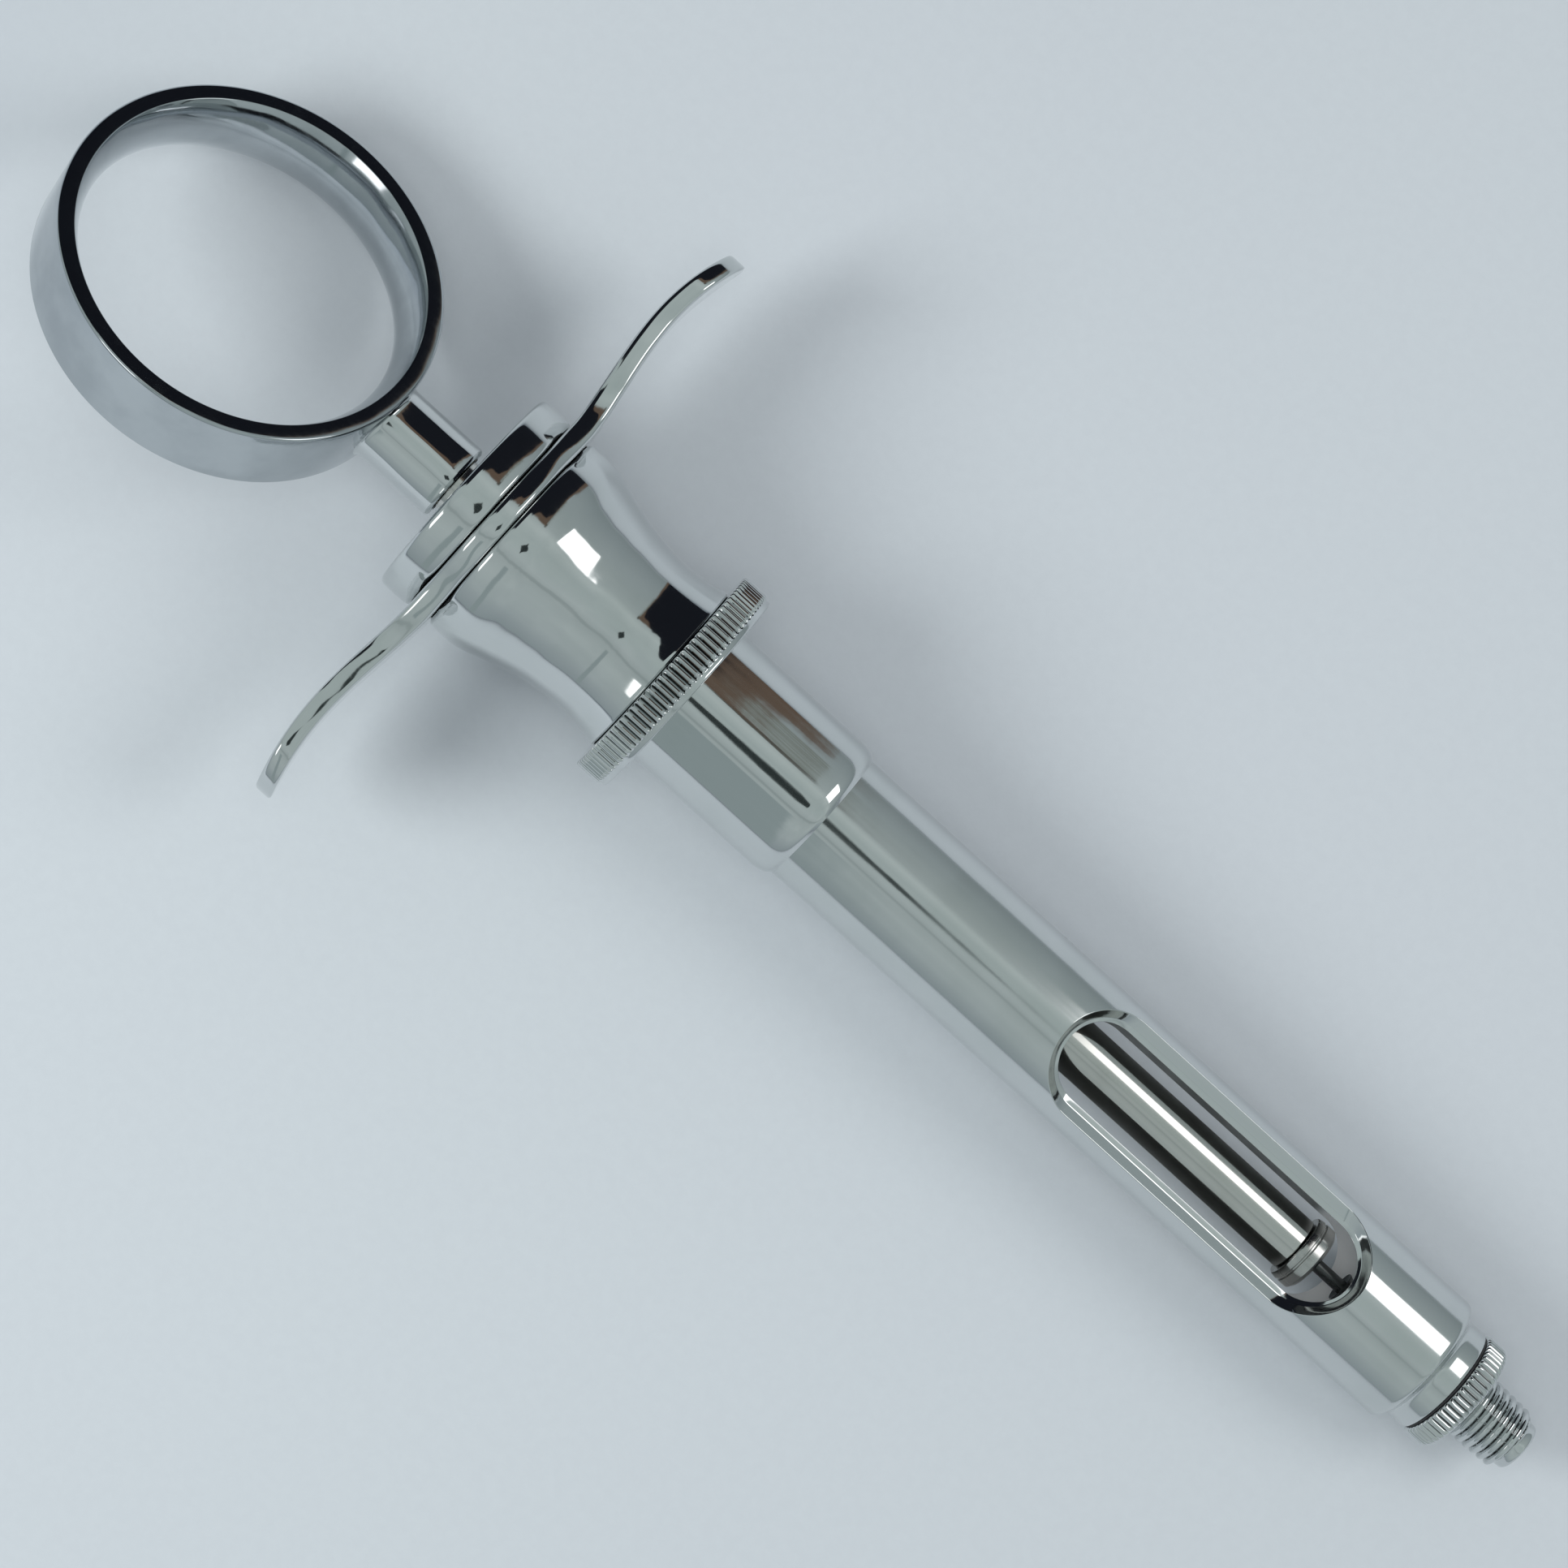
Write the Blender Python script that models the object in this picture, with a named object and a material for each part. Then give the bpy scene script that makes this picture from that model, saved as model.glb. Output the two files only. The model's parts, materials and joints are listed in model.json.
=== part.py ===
"""Aspirating dental syringe: thumb ring, plunger, finger grip, windowed barrel and needle adaptor.

X runs along the syringe towards the needle, Z is up through the upper barrel window, and Y runs along
the finger wings. The origin is on the axis, halfway along the overall length. Every joint turns about
or slides along X. Lengths are in metres.
"""

import math

import bmesh
import bpy
from mathutils import Matrix, Vector

MM = 0.001

# Clearances between pieces that rest on each other, and between the rod and what it runs in
GAP = 0.3 * MM
RUNNING_GAP = 0.1 * MM
THIN_GAP = 0.12 * MM

# Facets round a full turn
FACETS = 40
INNER_FACETS = 28

# Thumb ring
OVERALL_LENGTH = 155.55 * MM
RING_RADIUS = 16.2 * MM
RING_WIDTH = 7.1 * MM
RING_RIM = 1.4 * MM
RING_CROWN = 1.1 * MM
RING_EDGE = 0.3 * MM
RING_ROLL = math.radians(-33.3)
RING_CENTRE = RING_RADIUS - OVERALL_LENGTH / 2

# Grip body: the barrel seats on its front face, and every other station is counted from there
SEAT = -16.155 * MM
GRIP_LENGTH = 16.1 * MM
GRIP_RADIUS = 9.65 * MM
GRIP_BAND = 3.1 * MM
GRIP_WAIST_RADIUS = 7.6 * MM
GRIP_WAIST = 3.7 * MM
GRIP_MOUTH_RADIUS = 7.95 * MM
GRIP_EDGE = 0.4 * MM
GRIP_WEB = 1.6 * MM
CHAMBER_RADIUS = 6.3 * MM
GRIP_REAR = SEAT - GRIP_LENGTH

# Finger plate
PLATE_THICKNESS = 1.65 * MM
PLATE_TIP_THICKNESS = 1.3 * MM
PLATE_SPAN = 57.0 * MM
HUB_RADIUS = 9.7 * MM
ARM_ROOT_HALF_WIDTH = 4.8 * MM
ARM_TIP_HALF_WIDTH = 4.4 * MM
ARM_FILLET = 14.0 * MM
ARM_CORNER = 4.3 * MM
ARM_SWEEP = 1.12 * MM
ARM_SWEEP_POWER = 1.35
ARM_TIP_CURL = 0.2 * MM
PLATE_FRONT = GRIP_REAR - GAP
PLATE_REAR = PLATE_FRONT - PLATE_THICKNESS

# Rear cap
CAP_LENGTH = 3.0 * MM
CAP_RADIUS = 9.75 * MM
CAP_EDGE = 0.4 * MM
CAP_WALL = 0.65 * MM
CAP_LEAD = 0.3 * MM
CAP_LEAD_RADIUS = 4.1 * MM
CAP_FRONT = PLATE_REAR - GAP
CAP_REAR = CAP_FRONT - CAP_LENGTH

# Plunger
ROD_RADIUS = 2.4 * MM
STEM_RADIUS = 3.45 * MM
STEM_SHOULDER = 0.5 * MM
HEAD_RADIUS = 3.0 * MM
HEAD_LENGTH = 1.85 * MM
HEAD_FRONT = 54.985 * MM
HARPOON_RADIUS = 0.575 * MM
HARPOON_BARB_RADIUS = 1.3 * MM
HARPOON_BARB_LENGTH = 2.4 * MM
HARPOON_REACH = 5.4 * MM
STEM_FRONT = CAP_REAR - 2 * GAP
STEM_REAR = RING_CENTRE + RING_RADIUS + GAP
HEAD_REAR = HEAD_FRONT - HEAD_LENGTH

# Guide bearing, rod seal and retainer
BEARING_RADIUS = 5.0 * MM
BEARING_FLANGE_RADIUS = 6.0 * MM
BEARING_FLANGE = 1.2 * MM
SEAL_POCKET_RADIUS = 4.0 * MM
SEAL_POCKET_DEPTH = 2.7 * MM
SEAL_LENGTH = 1.0 * MM
SEAL_RADIUS = SEAL_POCKET_RADIUS - GAP
BEARING_FRONT = GRIP_REAR + GRIP_WEB + GAP + BEARING_FLANGE
BEARING_REAR = CAP_REAR + CAP_WALL + GAP
SEAL_REAR = BEARING_FRONT - SEAL_POCKET_DEPTH + GAP

# Locating pin between the finger plate and the grip body
PIN_RADIUS = 0.6 * MM
PIN_OFFSET = 7.8 * MM
PIN_LENGTH = 3.1 * MM

# Threaded spigot, cartridge pusher and its spring
SPIGOT_REAR = SEAT - 5.4 * MM
SPIGOT_FRONT = SEAT + 11.6 * MM
SPIGOT_TAIL_RADIUS = 6.0 * MM
SPIGOT_RADIUS = 5.3 * MM
SPIGOT_BORE = 4.6 * MM
PUSHER_RADIUS = 4.3 * MM
PUSHER_BORE = 3.4 * MM
PUSHER_COLLAR_RADIUS = 5.8 * MM
PUSHER_COLLAR = 0.8 * MM
PUSHER_NOSE = SEAT + 17.25 * MM
PUSHER_REAR = SPIGOT_REAR - GAP - PUSHER_COLLAR
SPRING_RADIUS = 4.9 * MM
SPRING_WIRE_RADIUS = 0.35 * MM
SPRING_TURNS = 3.5

# Knurled ring and the washer inside it
KNURL_WIDTH = 2.85 * MM
KNURL_RADIUS = 10.05 * MM
KNURL_CHAMFER = 0.45 * MM
KNURL_DEPTH = 0.28 * MM
KNURL_TEETH = 92
KNURL_REAR = SEAT + 0.6 * GAP
KNURL_FRONT = KNURL_REAR + KNURL_WIDTH
JOINT_WASHER = 0.5 * MM
JOINT_WASHER_REAR = SEAT + GAP

# Barrel socket and barrel tube
SOCKET_RADIUS = 6.6 * MM
SOCKET_BORE = 5.6 * MM
SOCKET_SHOULDER = 2.2 * MM
SOCKET_REAR = SEAT + 1.15 * MM
SOCKET_FRONT = SEAT + 17.47 * MM
TUBE_RADIUS = 6.0 * MM
TUBE_BORE = 4.6 * MM
TUBE_TAIL = 5.0 * MM
TUBE_SHOULDER = 66.575 * MM
SHOULDER_LENGTH = 1.3 * MM
NECK_RADIUS = 5.0 * MM
NECK_BORE = 2.6 * MM
NECK_FRONT = 69.325 * MM
CHAMBER_FRONT = 65.375 * MM
TUBE_REAR = SOCKET_FRONT + GAP

# Barrel windows: the opening on the tube's outside, and the smaller one on its bore
WINDOW_CENTRE = 42.575 * MM
WINDOW_OUTER = (15.8 * MM, 4.9 * MM)
WINDOW_INNER = (15.0 * MM, 3.5 * MM)

# Needle adaptor and its washer
ADAPTOR_WASHER = 0.2 * MM
ADAPTOR_WASHER_RADIUS = 4.85 * MM
ADAPTOR_TAIL = 3.4 * MM
ADAPTOR_TAIL_RADIUS = 2.3 * MM
FLANGE_RADIUS = 5.12 * MM
FLANGE_LENGTH = 2.0 * MM
FLANGE_EDGE = 0.35 * MM
FLANGE_RIDGES = 56
FLANGE_DEPTH = 0.2 * MM
THREAD_CREST = 3.0 * MM
THREAD_END_CREST = 2.75 * MM
THREAD_RUNOUT = 3.05 * MM
THREAD_DEPTH = 0.42 * MM
THREAD_PITCH = 0.75 * MM
THREAD_TURNS = 6
NOSE_RADIUS = 2.2 * MM
NOSE_FRONT = OVERALL_LENGTH / 2
NEEDLE_BORE = 0.45 * MM
ADAPTOR_WASHER_REAR = NECK_FRONT + THIN_GAP
FLANGE_REAR = ADAPTOR_WASHER_REAR + ADAPTOR_WASHER + THIN_GAP
FLANGE_FRONT = FLANGE_REAR + FLANGE_LENGTH

SMOOTH_ANGLE = math.radians(32)
WELD = 1e-7


# ---------------------------------------------------------------- materials

def finish(name, colour, roughness, metallic):
    """A Principled material of one plain colour."""
    material = bpy.data.materials.new(name + "_finish")
    material.use_nodes = True
    shader = material.node_tree.nodes["Principled BSDF"]
    shader.inputs["Base Color"].default_value = (*colour, 1.0)
    shader.inputs["Roughness"].default_value = roughness
    shader.inputs["Metallic"].default_value = metallic
    return material


def chrome(name):
    return finish(name, (0.74, 0.76, 0.76), 0.08, 1.0)


def steel(name):
    return finish(name, (0.60, 0.60, 0.58), 0.28, 1.0)


def brass(name):
    return finish(name, (0.72, 0.55, 0.27), 0.25, 1.0)


def rubber(name):
    return finish(name, (0.03, 0.03, 0.032), 0.7, 0.0)


# ---------------------------------------------------------------- outline helpers

def arc(x, r, radius_x, radius_r, start, end, steps):
    """Points (x, r) on an ellipse round (x, r), from angle start to end in degrees."""
    points = []
    for i in range(steps + 1):
        angle = math.radians(start + (end - start) * i / steps)
        points.append((x + radius_x * math.cos(angle), r + radius_r * math.sin(angle)))
    return points


def bezier(p0, p1, p2, p3, steps):
    """Points along a cubic curve from p0 to p3."""
    points = []
    for i in range(steps + 1):
        t = i / steps
        u = 1 - t
        weights = (u * u * u, 3 * u * u * t, 3 * u * t * t, t * t * t)
        points.append(tuple(
            sum(w * p[k] for w, p in zip(weights, (p0, p1, p2, p3))) for k in (0, 1)))
    return points


def tube_outline(rear, front, inner, outer, edge=0.0):
    """Closed outline of a plain tube, with a chamfer on its two outer edges."""
    if not edge:
        return [(rear, inner), (rear, outer), (front, outer), (front, inner)]
    return [(rear, inner), (rear, outer - edge), (rear + edge, outer),
            (front - edge, outer), (front, outer - edge), (front, inner)]


# ---------------------------------------------------------------- solid helpers

def add_object(name, bm, material, parent, shift):
    """Closes the bmesh into an object whose origin is at the station shift on the axis."""
    bmesh.ops.recalc_face_normals(bm, faces=bm.faces)
    bmesh.ops.translate(bm, verts=bm.verts, vec=(-shift, 0, 0))
    mesh = bpy.data.meshes.new(name)
    bm.to_mesh(mesh)
    bm.free()
    mesh.materials.append(material)
    mesh.shade_smooth()
    mesh.set_sharp_from_angle(angle=SMOOTH_ANGLE)
    piece = bpy.data.objects.new(name, mesh)
    bpy.context.scene.collection.objects.link(piece)
    piece.parent = parent
    piece.location = (shift - (parent.location.x if parent else 0.0), 0, 0)
    return piece


def turned(name, outline, material, parent=None, facets=FACETS, closed=True):
    """Spins an outline of (x, r) points about the X axis. An open outline starts and ends on the axis."""
    bm = bmesh.new()
    verts = [bm.verts.new((x, r, 0)) for x, r in outline]
    edges = [bm.edges.new(pair) for pair in zip(verts, verts[1:])]
    if closed:
        edges.append(bm.edges.new((verts[-1], verts[0])))
    bmesh.ops.spin(bm, geom=verts + edges, cent=(0, 0, 0), axis=(1, 0, 0),
                   angle=math.tau, steps=facets, use_merge=True)
    bmesh.ops.remove_doubles(bm, verts=bm.verts, dist=WELD)
    return add_object(name, bm, material, parent, outline[0][0])


def skin(bm, loop_a, loop_b):
    """Faces between two closed loops. Loop a may have a whole multiple of loop b's vertices."""
    share = len(loop_a) // len(loop_b)
    for j, vert in enumerate(loop_b):
        following = loop_b[(j + 1) % len(loop_b)]
        run = [loop_a[(j * share + i) % len(loop_a)] for i in range(share + 1)]
        if share == 1:
            bm.faces.new((run[0], run[1], following, vert))
            continue
        for first, second in zip(run, run[1:]):
            bm.faces.new((first, second, vert))
        bm.faces.new((run[-1], following, vert))


def toothed_loop(bm, x, radius, depth, teeth, share=1):
    """A loop of vertices round the axis, alternating between crest and root of each tooth."""
    count = 2 * teeth // share
    loop = []
    for i in range(count):
        angle = math.tau * i / count
        r = radius - (depth if i % 2 else 0.0)
        loop.append(bm.verts.new((x, r * math.cos(angle), r * math.sin(angle))))
    return loop


def lofted(bm, loops):
    """Skins a list of equal vertex loops into a solid, with a flat cap at each end."""
    for loop_a, loop_b in zip(loops, loops[1:]):
        skin(bm, loop_a, loop_b)
    bm.faces.new(loops[0])
    bm.faces.new(loops[-1])


def cut(piece, cutter):
    """Takes the cutter's shape out of the piece, and keeps the cutter as a hidden guide."""
    cutter.hide_render = True
    cutter.display_type = "WIRE"
    modifier = piece.modifiers.new("cut_" + cutter.name, "BOOLEAN")
    modifier.operation = "DIFFERENCE"
    modifier.solver = "EXACT"
    modifier.object = cutter


def joint_empty(name, station, parent=None):
    """An empty on the syringe's axis that carries the pieces of one moving body."""
    empty = bpy.data.objects.new(name, None)
    bpy.context.scene.collection.objects.link(empty)
    empty.empty_display_size = 10 * MM
    empty.parent = parent
    empty.location = (station, 0, 0)
    return empty


# ---------------------------------------------------------------- grip

def make_grip_body():
    """Bell-shaped shell: a wide rear band, a curved waist and a slightly flared mouth."""
    band_front = GRIP_REAR + GRIP_BAND
    waist = SEAT - GRIP_WAIST
    length = waist - band_front
    bell = bezier((band_front, GRIP_RADIUS), (band_front + 0.14 * length, GRIP_RADIUS),
                  (band_front + 0.31 * length, GRIP_WAIST_RADIUS), (waist, GRIP_WAIST_RADIUS), 8)
    mouth = bezier((waist, GRIP_WAIST_RADIUS), (waist + 0.5 * GRIP_WAIST, GRIP_WAIST_RADIUS),
                   (waist + 0.7 * GRIP_WAIST, GRIP_MOUTH_RADIUS - GRIP_EDGE / 2),
                   (SEAT - GRIP_EDGE, GRIP_MOUTH_RADIUS), 3)
    web_front = GRIP_REAR + GRIP_WEB
    outline = [(GRIP_REAR, BEARING_RADIUS + GAP), (GRIP_REAR, GRIP_RADIUS - GRIP_EDGE)]
    outline.append((GRIP_REAR + GRIP_EDGE, GRIP_RADIUS))
    outline += bell + mouth[1:]
    outline += [(SEAT, GRIP_MOUTH_RADIUS - GRIP_EDGE), (SEAT, CHAMBER_RADIUS)]
    outline += [(web_front, CHAMBER_RADIUS), (web_front, BEARING_RADIUS + GAP)]
    body = turned("grip_body", outline, chrome("grip_body"))
    cut(body, pin_hole("grip_pin_hole", GRIP_REAR - GAP, GRIP_REAR + GRIP_WEB + GAP))
    return body


def arm_half_width(y):
    """Half of the finger plate's width at the distance y from the axis: hub, fillet, arm and round tip."""
    tip = PLATE_SPAN / 2
    fillet_height = ARM_ROOT_HALF_WIDTH + ARM_FILLET
    fillet_y = math.sqrt((HUB_RADIUS + ARM_FILLET) ** 2 - fillet_height ** 2)
    hub_end = fillet_y * HUB_RADIUS / (HUB_RADIUS + ARM_FILLET)
    if y <= hub_end:
        return math.sqrt(HUB_RADIUS ** 2 - y ** 2)
    if y <= fillet_y:
        return fillet_height - math.sqrt(ARM_FILLET ** 2 - (fillet_y - y) ** 2)
    along = (y - fillet_y) / (tip - fillet_y)
    width = ARM_ROOT_HALF_WIDTH + (ARM_TIP_HALF_WIDTH - ARM_ROOT_HALF_WIDTH) * along
    into_corner = max(0.0, y - (tip - ARM_CORNER))
    return width - ARM_CORNER + math.sqrt(max(0.0, ARM_CORNER ** 2 - into_corner ** 2))


def arm_sweep(y):
    """How far the plate's middle bends towards the ring: flat at the hub and curling back at the tip."""
    tip = PLATE_SPAN / 2
    along = max(0.0, (y - HUB_RADIUS) / (tip - HUB_RADIUS))
    return ARM_TIP_CURL * along ** 2 - ARM_SWEEP * math.sin(math.pi * along ** ARM_SWEEP_POWER)


def make_finger_grip():
    """Plate with two gently bent wings, built as rectangular sections from one tip to the other."""
    tip = PLATE_SPAN / 2
    hub_steps = [HUB_RADIUS * math.sin(math.radians(a)) for a in range(0, 54, 9)]
    arm_steps = [HUB_RADIUS + (tip - ARM_CORNER - HUB_RADIUS) * i / 12 for i in range(13)]
    corner_steps = [tip - ARM_CORNER + ARM_CORNER * math.sin(math.radians(a)) for a in (20, 38, 54, 68, 80, 90)]
    half = hub_steps + [0.5 * (hub_steps[-1] + HUB_RADIUS)] + arm_steps + corner_steps
    stations = [-y for y in reversed(half[1:])] + half
    centre = (PLATE_FRONT + PLATE_REAR) / 2
    bm = bmesh.new()
    sections = []
    for y in stations:
        out = abs(y)
        width = arm_half_width(out)
        middle = centre + arm_sweep(out)
        thinning = max(0.0, out - HUB_RADIUS) / (tip - HUB_RADIUS)
        half_depth = (PLATE_THICKNESS + (PLATE_TIP_THICKNESS - PLATE_THICKNESS) * thinning) / 2
        corners = ((-1, -1), (-1, 1), (1, 1), (1, -1))
        sections.append([bm.verts.new((middle + a * half_depth, y, b * width)) for a, b in corners])
    lofted(bm, sections)
    plate = add_object("finger_grip", bm, chrome("finger_grip"), None, centre)
    bore = turned("plate_bore", tube_outline(PLATE_REAR - GAP, PLATE_FRONT + GAP, 0, BEARING_RADIUS + GAP),
                  steel("plate_bore"), facets=INNER_FACETS, closed=False)
    cut(plate, bore)
    cut(plate, pin_hole("plate_pin_hole", PLATE_REAR - GAP, PLATE_FRONT + GAP))
    return plate


def pin_hole(name, rear, front):
    """Round cutter for the locating pin's hole, between two stations."""
    hole = turned(name, tube_outline(rear, front, 0, PIN_RADIUS + GAP), steel(name), facets=16, closed=False)
    hole.location.z = PIN_OFFSET
    return hole


def make_locating_pin():
    front = GRIP_REAR + GRIP_WEB - GAP
    outline = tube_outline(front - PIN_LENGTH, front, 0, PIN_RADIUS, edge=0.15 * MM)
    pin = turned("locating_pin", outline, steel("locating_pin"), facets=16, closed=False)
    pin.location.z = PIN_OFFSET
    return pin


def make_rear_cap():
    """Round nut with a thin end wall that the rod comes out of, through a countersunk hole."""
    rear_edge = arc(CAP_REAR + CAP_EDGE, CAP_RADIUS - CAP_EDGE, CAP_EDGE, CAP_EDGE, 180, 90, 3)
    front_edge = arc(CAP_FRONT - CAP_EDGE / 2, CAP_RADIUS - CAP_EDGE / 2, CAP_EDGE / 2, CAP_EDGE / 2, 90, 0, 2)
    wall_front = CAP_REAR + CAP_WALL
    hole = ROD_RADIUS + 0.5 * MM
    outline = [(CAP_REAR + CAP_LEAD, hole), (CAP_REAR, CAP_LEAD_RADIUS)] + rear_edge + front_edge
    outline += [(CAP_FRONT, BEARING_RADIUS + GAP), (wall_front, BEARING_RADIUS + GAP), (wall_front, hole)]
    return turned("rear_cap", outline, chrome("rear_cap"))


def make_guide_bearing():
    """Brass bush with a flange in the grip chamber and a pocket for the rod seal."""
    bore = ROD_RADIUS + RUNNING_GAP
    flange_rear = BEARING_FRONT - BEARING_FLANGE
    pocket_rear = BEARING_FRONT - SEAL_POCKET_DEPTH
    outline = [(BEARING_REAR, bore), (BEARING_REAR, BEARING_RADIUS - GAP), (BEARING_REAR + GAP, BEARING_RADIUS)]
    outline += [(flange_rear, BEARING_RADIUS), (flange_rear, BEARING_FLANGE_RADIUS)]
    outline += [(BEARING_FRONT, BEARING_FLANGE_RADIUS), (BEARING_FRONT, SEAL_POCKET_RADIUS)]
    outline += [(pocket_rear, SEAL_POCKET_RADIUS), (pocket_rear, bore)]
    return turned("guide_bearing", outline, brass("guide_bearing"), facets=INNER_FACETS)


def make_rod_seal(parent):
    """Rubber ring with a rounded section."""
    bore = ROD_RADIUS + RUNNING_GAP
    depth = (SEAL_RADIUS - bore) / 2
    outline = arc(SEAL_REAR + SEAL_LENGTH / 2, bore + depth, SEAL_LENGTH / 2, depth, 0, 315, 7)
    return turned("rod_seal", outline, rubber("rod_seal"), parent, facets=INNER_FACETS)


def make_seal_retainer():
    rear = SEAL_REAR + SEAL_LENGTH + GAP
    outline = tube_outline(rear, BEARING_FRONT - RUNNING_GAP, ROD_RADIUS + GAP, SEAL_RADIUS)
    return turned("seal_retainer", outline, brass("seal_retainer"), facets=INNER_FACETS)


def make_threaded_spigot():
    """Sleeve fixed in the grip's mouth. Its front part carries the thread that holds the barrel."""
    step = SEAT - GAP
    outline = [(SPIGOT_REAR, SPIGOT_BORE), (SPIGOT_REAR, SPIGOT_TAIL_RADIUS), (step, SPIGOT_TAIL_RADIUS)]
    outline += [(step, SPIGOT_RADIUS), (SPIGOT_FRONT - GAP, SPIGOT_RADIUS), (SPIGOT_FRONT, SPIGOT_RADIUS - GAP)]
    outline.append((SPIGOT_FRONT, SPIGOT_BORE))
    return turned("threaded_spigot", outline, steel("threaded_spigot"), facets=INNER_FACETS)


def make_cartridge_spring():
    """Open coil with flat-cut ends, between the guide bearing and the pusher's collar."""
    start = BEARING_FRONT + GAP + SPRING_WIRE_RADIUS
    end = PUSHER_REAR - GAP - SPRING_WIRE_RADIUS
    sides, per_turn = 6, 20
    steps = round(SPRING_TURNS * per_turn)
    bm = bmesh.new()
    loops = []
    for i in range(steps + 1):
        angle = math.tau * i / per_turn
        x = start + (end - start) * i / steps
        loop = []
        for k in range(sides):
            around = math.tau * k / sides
            r = SPRING_RADIUS + SPRING_WIRE_RADIUS * math.cos(around)
            along = x + SPRING_WIRE_RADIUS * math.sin(around)
            loop.append(bm.verts.new((along, r * math.cos(angle), r * math.sin(angle))))
        loops.append(loop)
    lofted(bm, loops)
    return add_object("cartridge_spring", bm, steel("cartridge_spring"), None, start)


def make_cartridge_pusher(parent):
    """Thin sleeve with a collar behind the spigot. Its nose presses on the cartridge's rim."""
    collar_front = PUSHER_REAR + PUSHER_COLLAR
    outline = [(PUSHER_REAR, PUSHER_BORE), (PUSHER_REAR, PUSHER_COLLAR_RADIUS)]
    outline += [(collar_front, PUSHER_COLLAR_RADIUS), (collar_front, PUSHER_RADIUS)]
    outline += [(PUSHER_NOSE, PUSHER_RADIUS), (PUSHER_NOSE, PUSHER_BORE)]
    return turned("cartridge_pusher", outline, steel("cartridge_pusher"), parent, facets=INNER_FACETS)


# ---------------------------------------------------------------- plunger

def make_plunger_rod(parent):
    rear = STEM_REAR + 2 * GAP
    outline = tube_outline(rear, HEAD_REAR - GAP, 0, ROD_RADIUS, edge=0.2 * MM)
    return turned("plunger_rod", outline, steel("plunger_rod"), parent, facets=INNER_FACETS, closed=False)


def make_plunger_head(parent):
    """Disc with a chamfered front edge and a hole for the harpoon's shank."""
    chamfer = 0.35 * MM
    hole = HARPOON_RADIUS + GAP
    outline = [(HEAD_REAR, hole), (HEAD_REAR, HEAD_RADIUS - chamfer / 2), (HEAD_REAR + chamfer / 2, HEAD_RADIUS)]
    outline += [(HEAD_FRONT - chamfer, HEAD_RADIUS), (HEAD_FRONT, HEAD_RADIUS - chamfer), (HEAD_FRONT, hole)]
    return turned("plunger_head", outline, steel("plunger_head"), parent, facets=INNER_FACETS)


def make_harpoon(parent):
    """Thin shank with a pointed, back-hooked barb."""
    tip = HEAD_FRONT + HARPOON_REACH
    barb = tip - HARPOON_BARB_LENGTH
    outline = [(HEAD_REAR, 0), (HEAD_REAR, HARPOON_RADIUS), (barb + GAP, HARPOON_RADIUS)]
    outline += [(barb, HARPOON_BARB_RADIUS), (barb + GAP, HARPOON_BARB_RADIUS), (tip, 0)]
    return turned("harpoon", outline, steel("harpoon"), parent, facets=20, closed=False)


def make_ring_stem(parent):
    """Ferrule that is screwed on the rod's rear end and brazed to the thumb ring."""
    bore_rear = STEM_REAR + GAP
    bore = ROD_RADIUS + GAP
    edge = arc(STEM_FRONT - STEM_SHOULDER, STEM_RADIUS - STEM_SHOULDER / 2, STEM_SHOULDER, STEM_SHOULDER / 2, 90, 0, 3)
    outline = [(STEM_REAR, 0), (STEM_REAR, STEM_RADIUS)] + edge
    outline += [(STEM_FRONT, bore), (bore_rear, bore), (bore_rear, 0)]
    return turned("ring_stem", outline, chrome("ring_stem"), parent, facets=INNER_FACETS, closed=False)


def make_thumb_ring(parent):
    """Band with a flat outside, two flat rims and an inside that is crowned towards the thumb."""
    half = RING_WIDTH / 2
    rim_inner = RING_RADIUS - RING_RIM
    outline = [(-half, rim_inner), (-half, RING_RADIUS - RING_EDGE), (-half + RING_EDGE, RING_RADIUS)]
    outline += [(half - RING_EDGE, RING_RADIUS), (half, RING_RADIUS - RING_EDGE), (half, rim_inner)]
    crown_steps = 6
    for i in range(1, crown_steps):
        across = 1 - 2 * i / crown_steps
        outline.append((half * across, rim_inner - RING_CROWN * (1 - across ** 2)))
    ring = turned("thumb_ring", outline, chrome("thumb_ring"), None, facets=64)
    lift = Matrix.Translation((-half, 0, 0))
    stand = Matrix.Rotation(math.radians(-90), 4, "Y")
    ring.data.transform(stand @ lift)
    ring.parent = parent
    ring.location = (RING_CENTRE - parent.location.x, 0, 0)
    ring.rotation_euler = (RING_ROLL, 0, 0)
    return ring


# ---------------------------------------------------------------- barrel

def make_knurled_ring(parent):
    """Ring with straight rounded teeth between two chamfers. It turns with the barrel."""
    stations = ((KNURL_REAR, KNURL_RADIUS - KNURL_CHAMFER, 0.0),
                (KNURL_REAR + KNURL_CHAMFER, KNURL_RADIUS, KNURL_DEPTH),
                (KNURL_FRONT - KNURL_CHAMFER, KNURL_RADIUS, KNURL_DEPTH),
                (KNURL_FRONT, KNURL_RADIUS - KNURL_CHAMFER, 0.0))
    bore = SOCKET_RADIUS + GAP
    bm = bmesh.new()
    outside = [toothed_loop(bm, x, radius, depth, KNURL_TEETH) for x, radius, depth in stations]
    inside = [toothed_loop(bm, x, bore, 0.0, KNURL_TEETH, share=4) for x in (KNURL_REAR, KNURL_FRONT)]
    for loop_a, loop_b in zip(outside, outside[1:]):
        skin(bm, loop_a, loop_b)
    skin(bm, outside[0], inside[0])
    skin(bm, outside[-1], inside[-1])
    skin(bm, inside[0], inside[1])
    return add_object("knurled_ring", bm, chrome("knurled_ring"), parent, KNURL_REAR)


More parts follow.
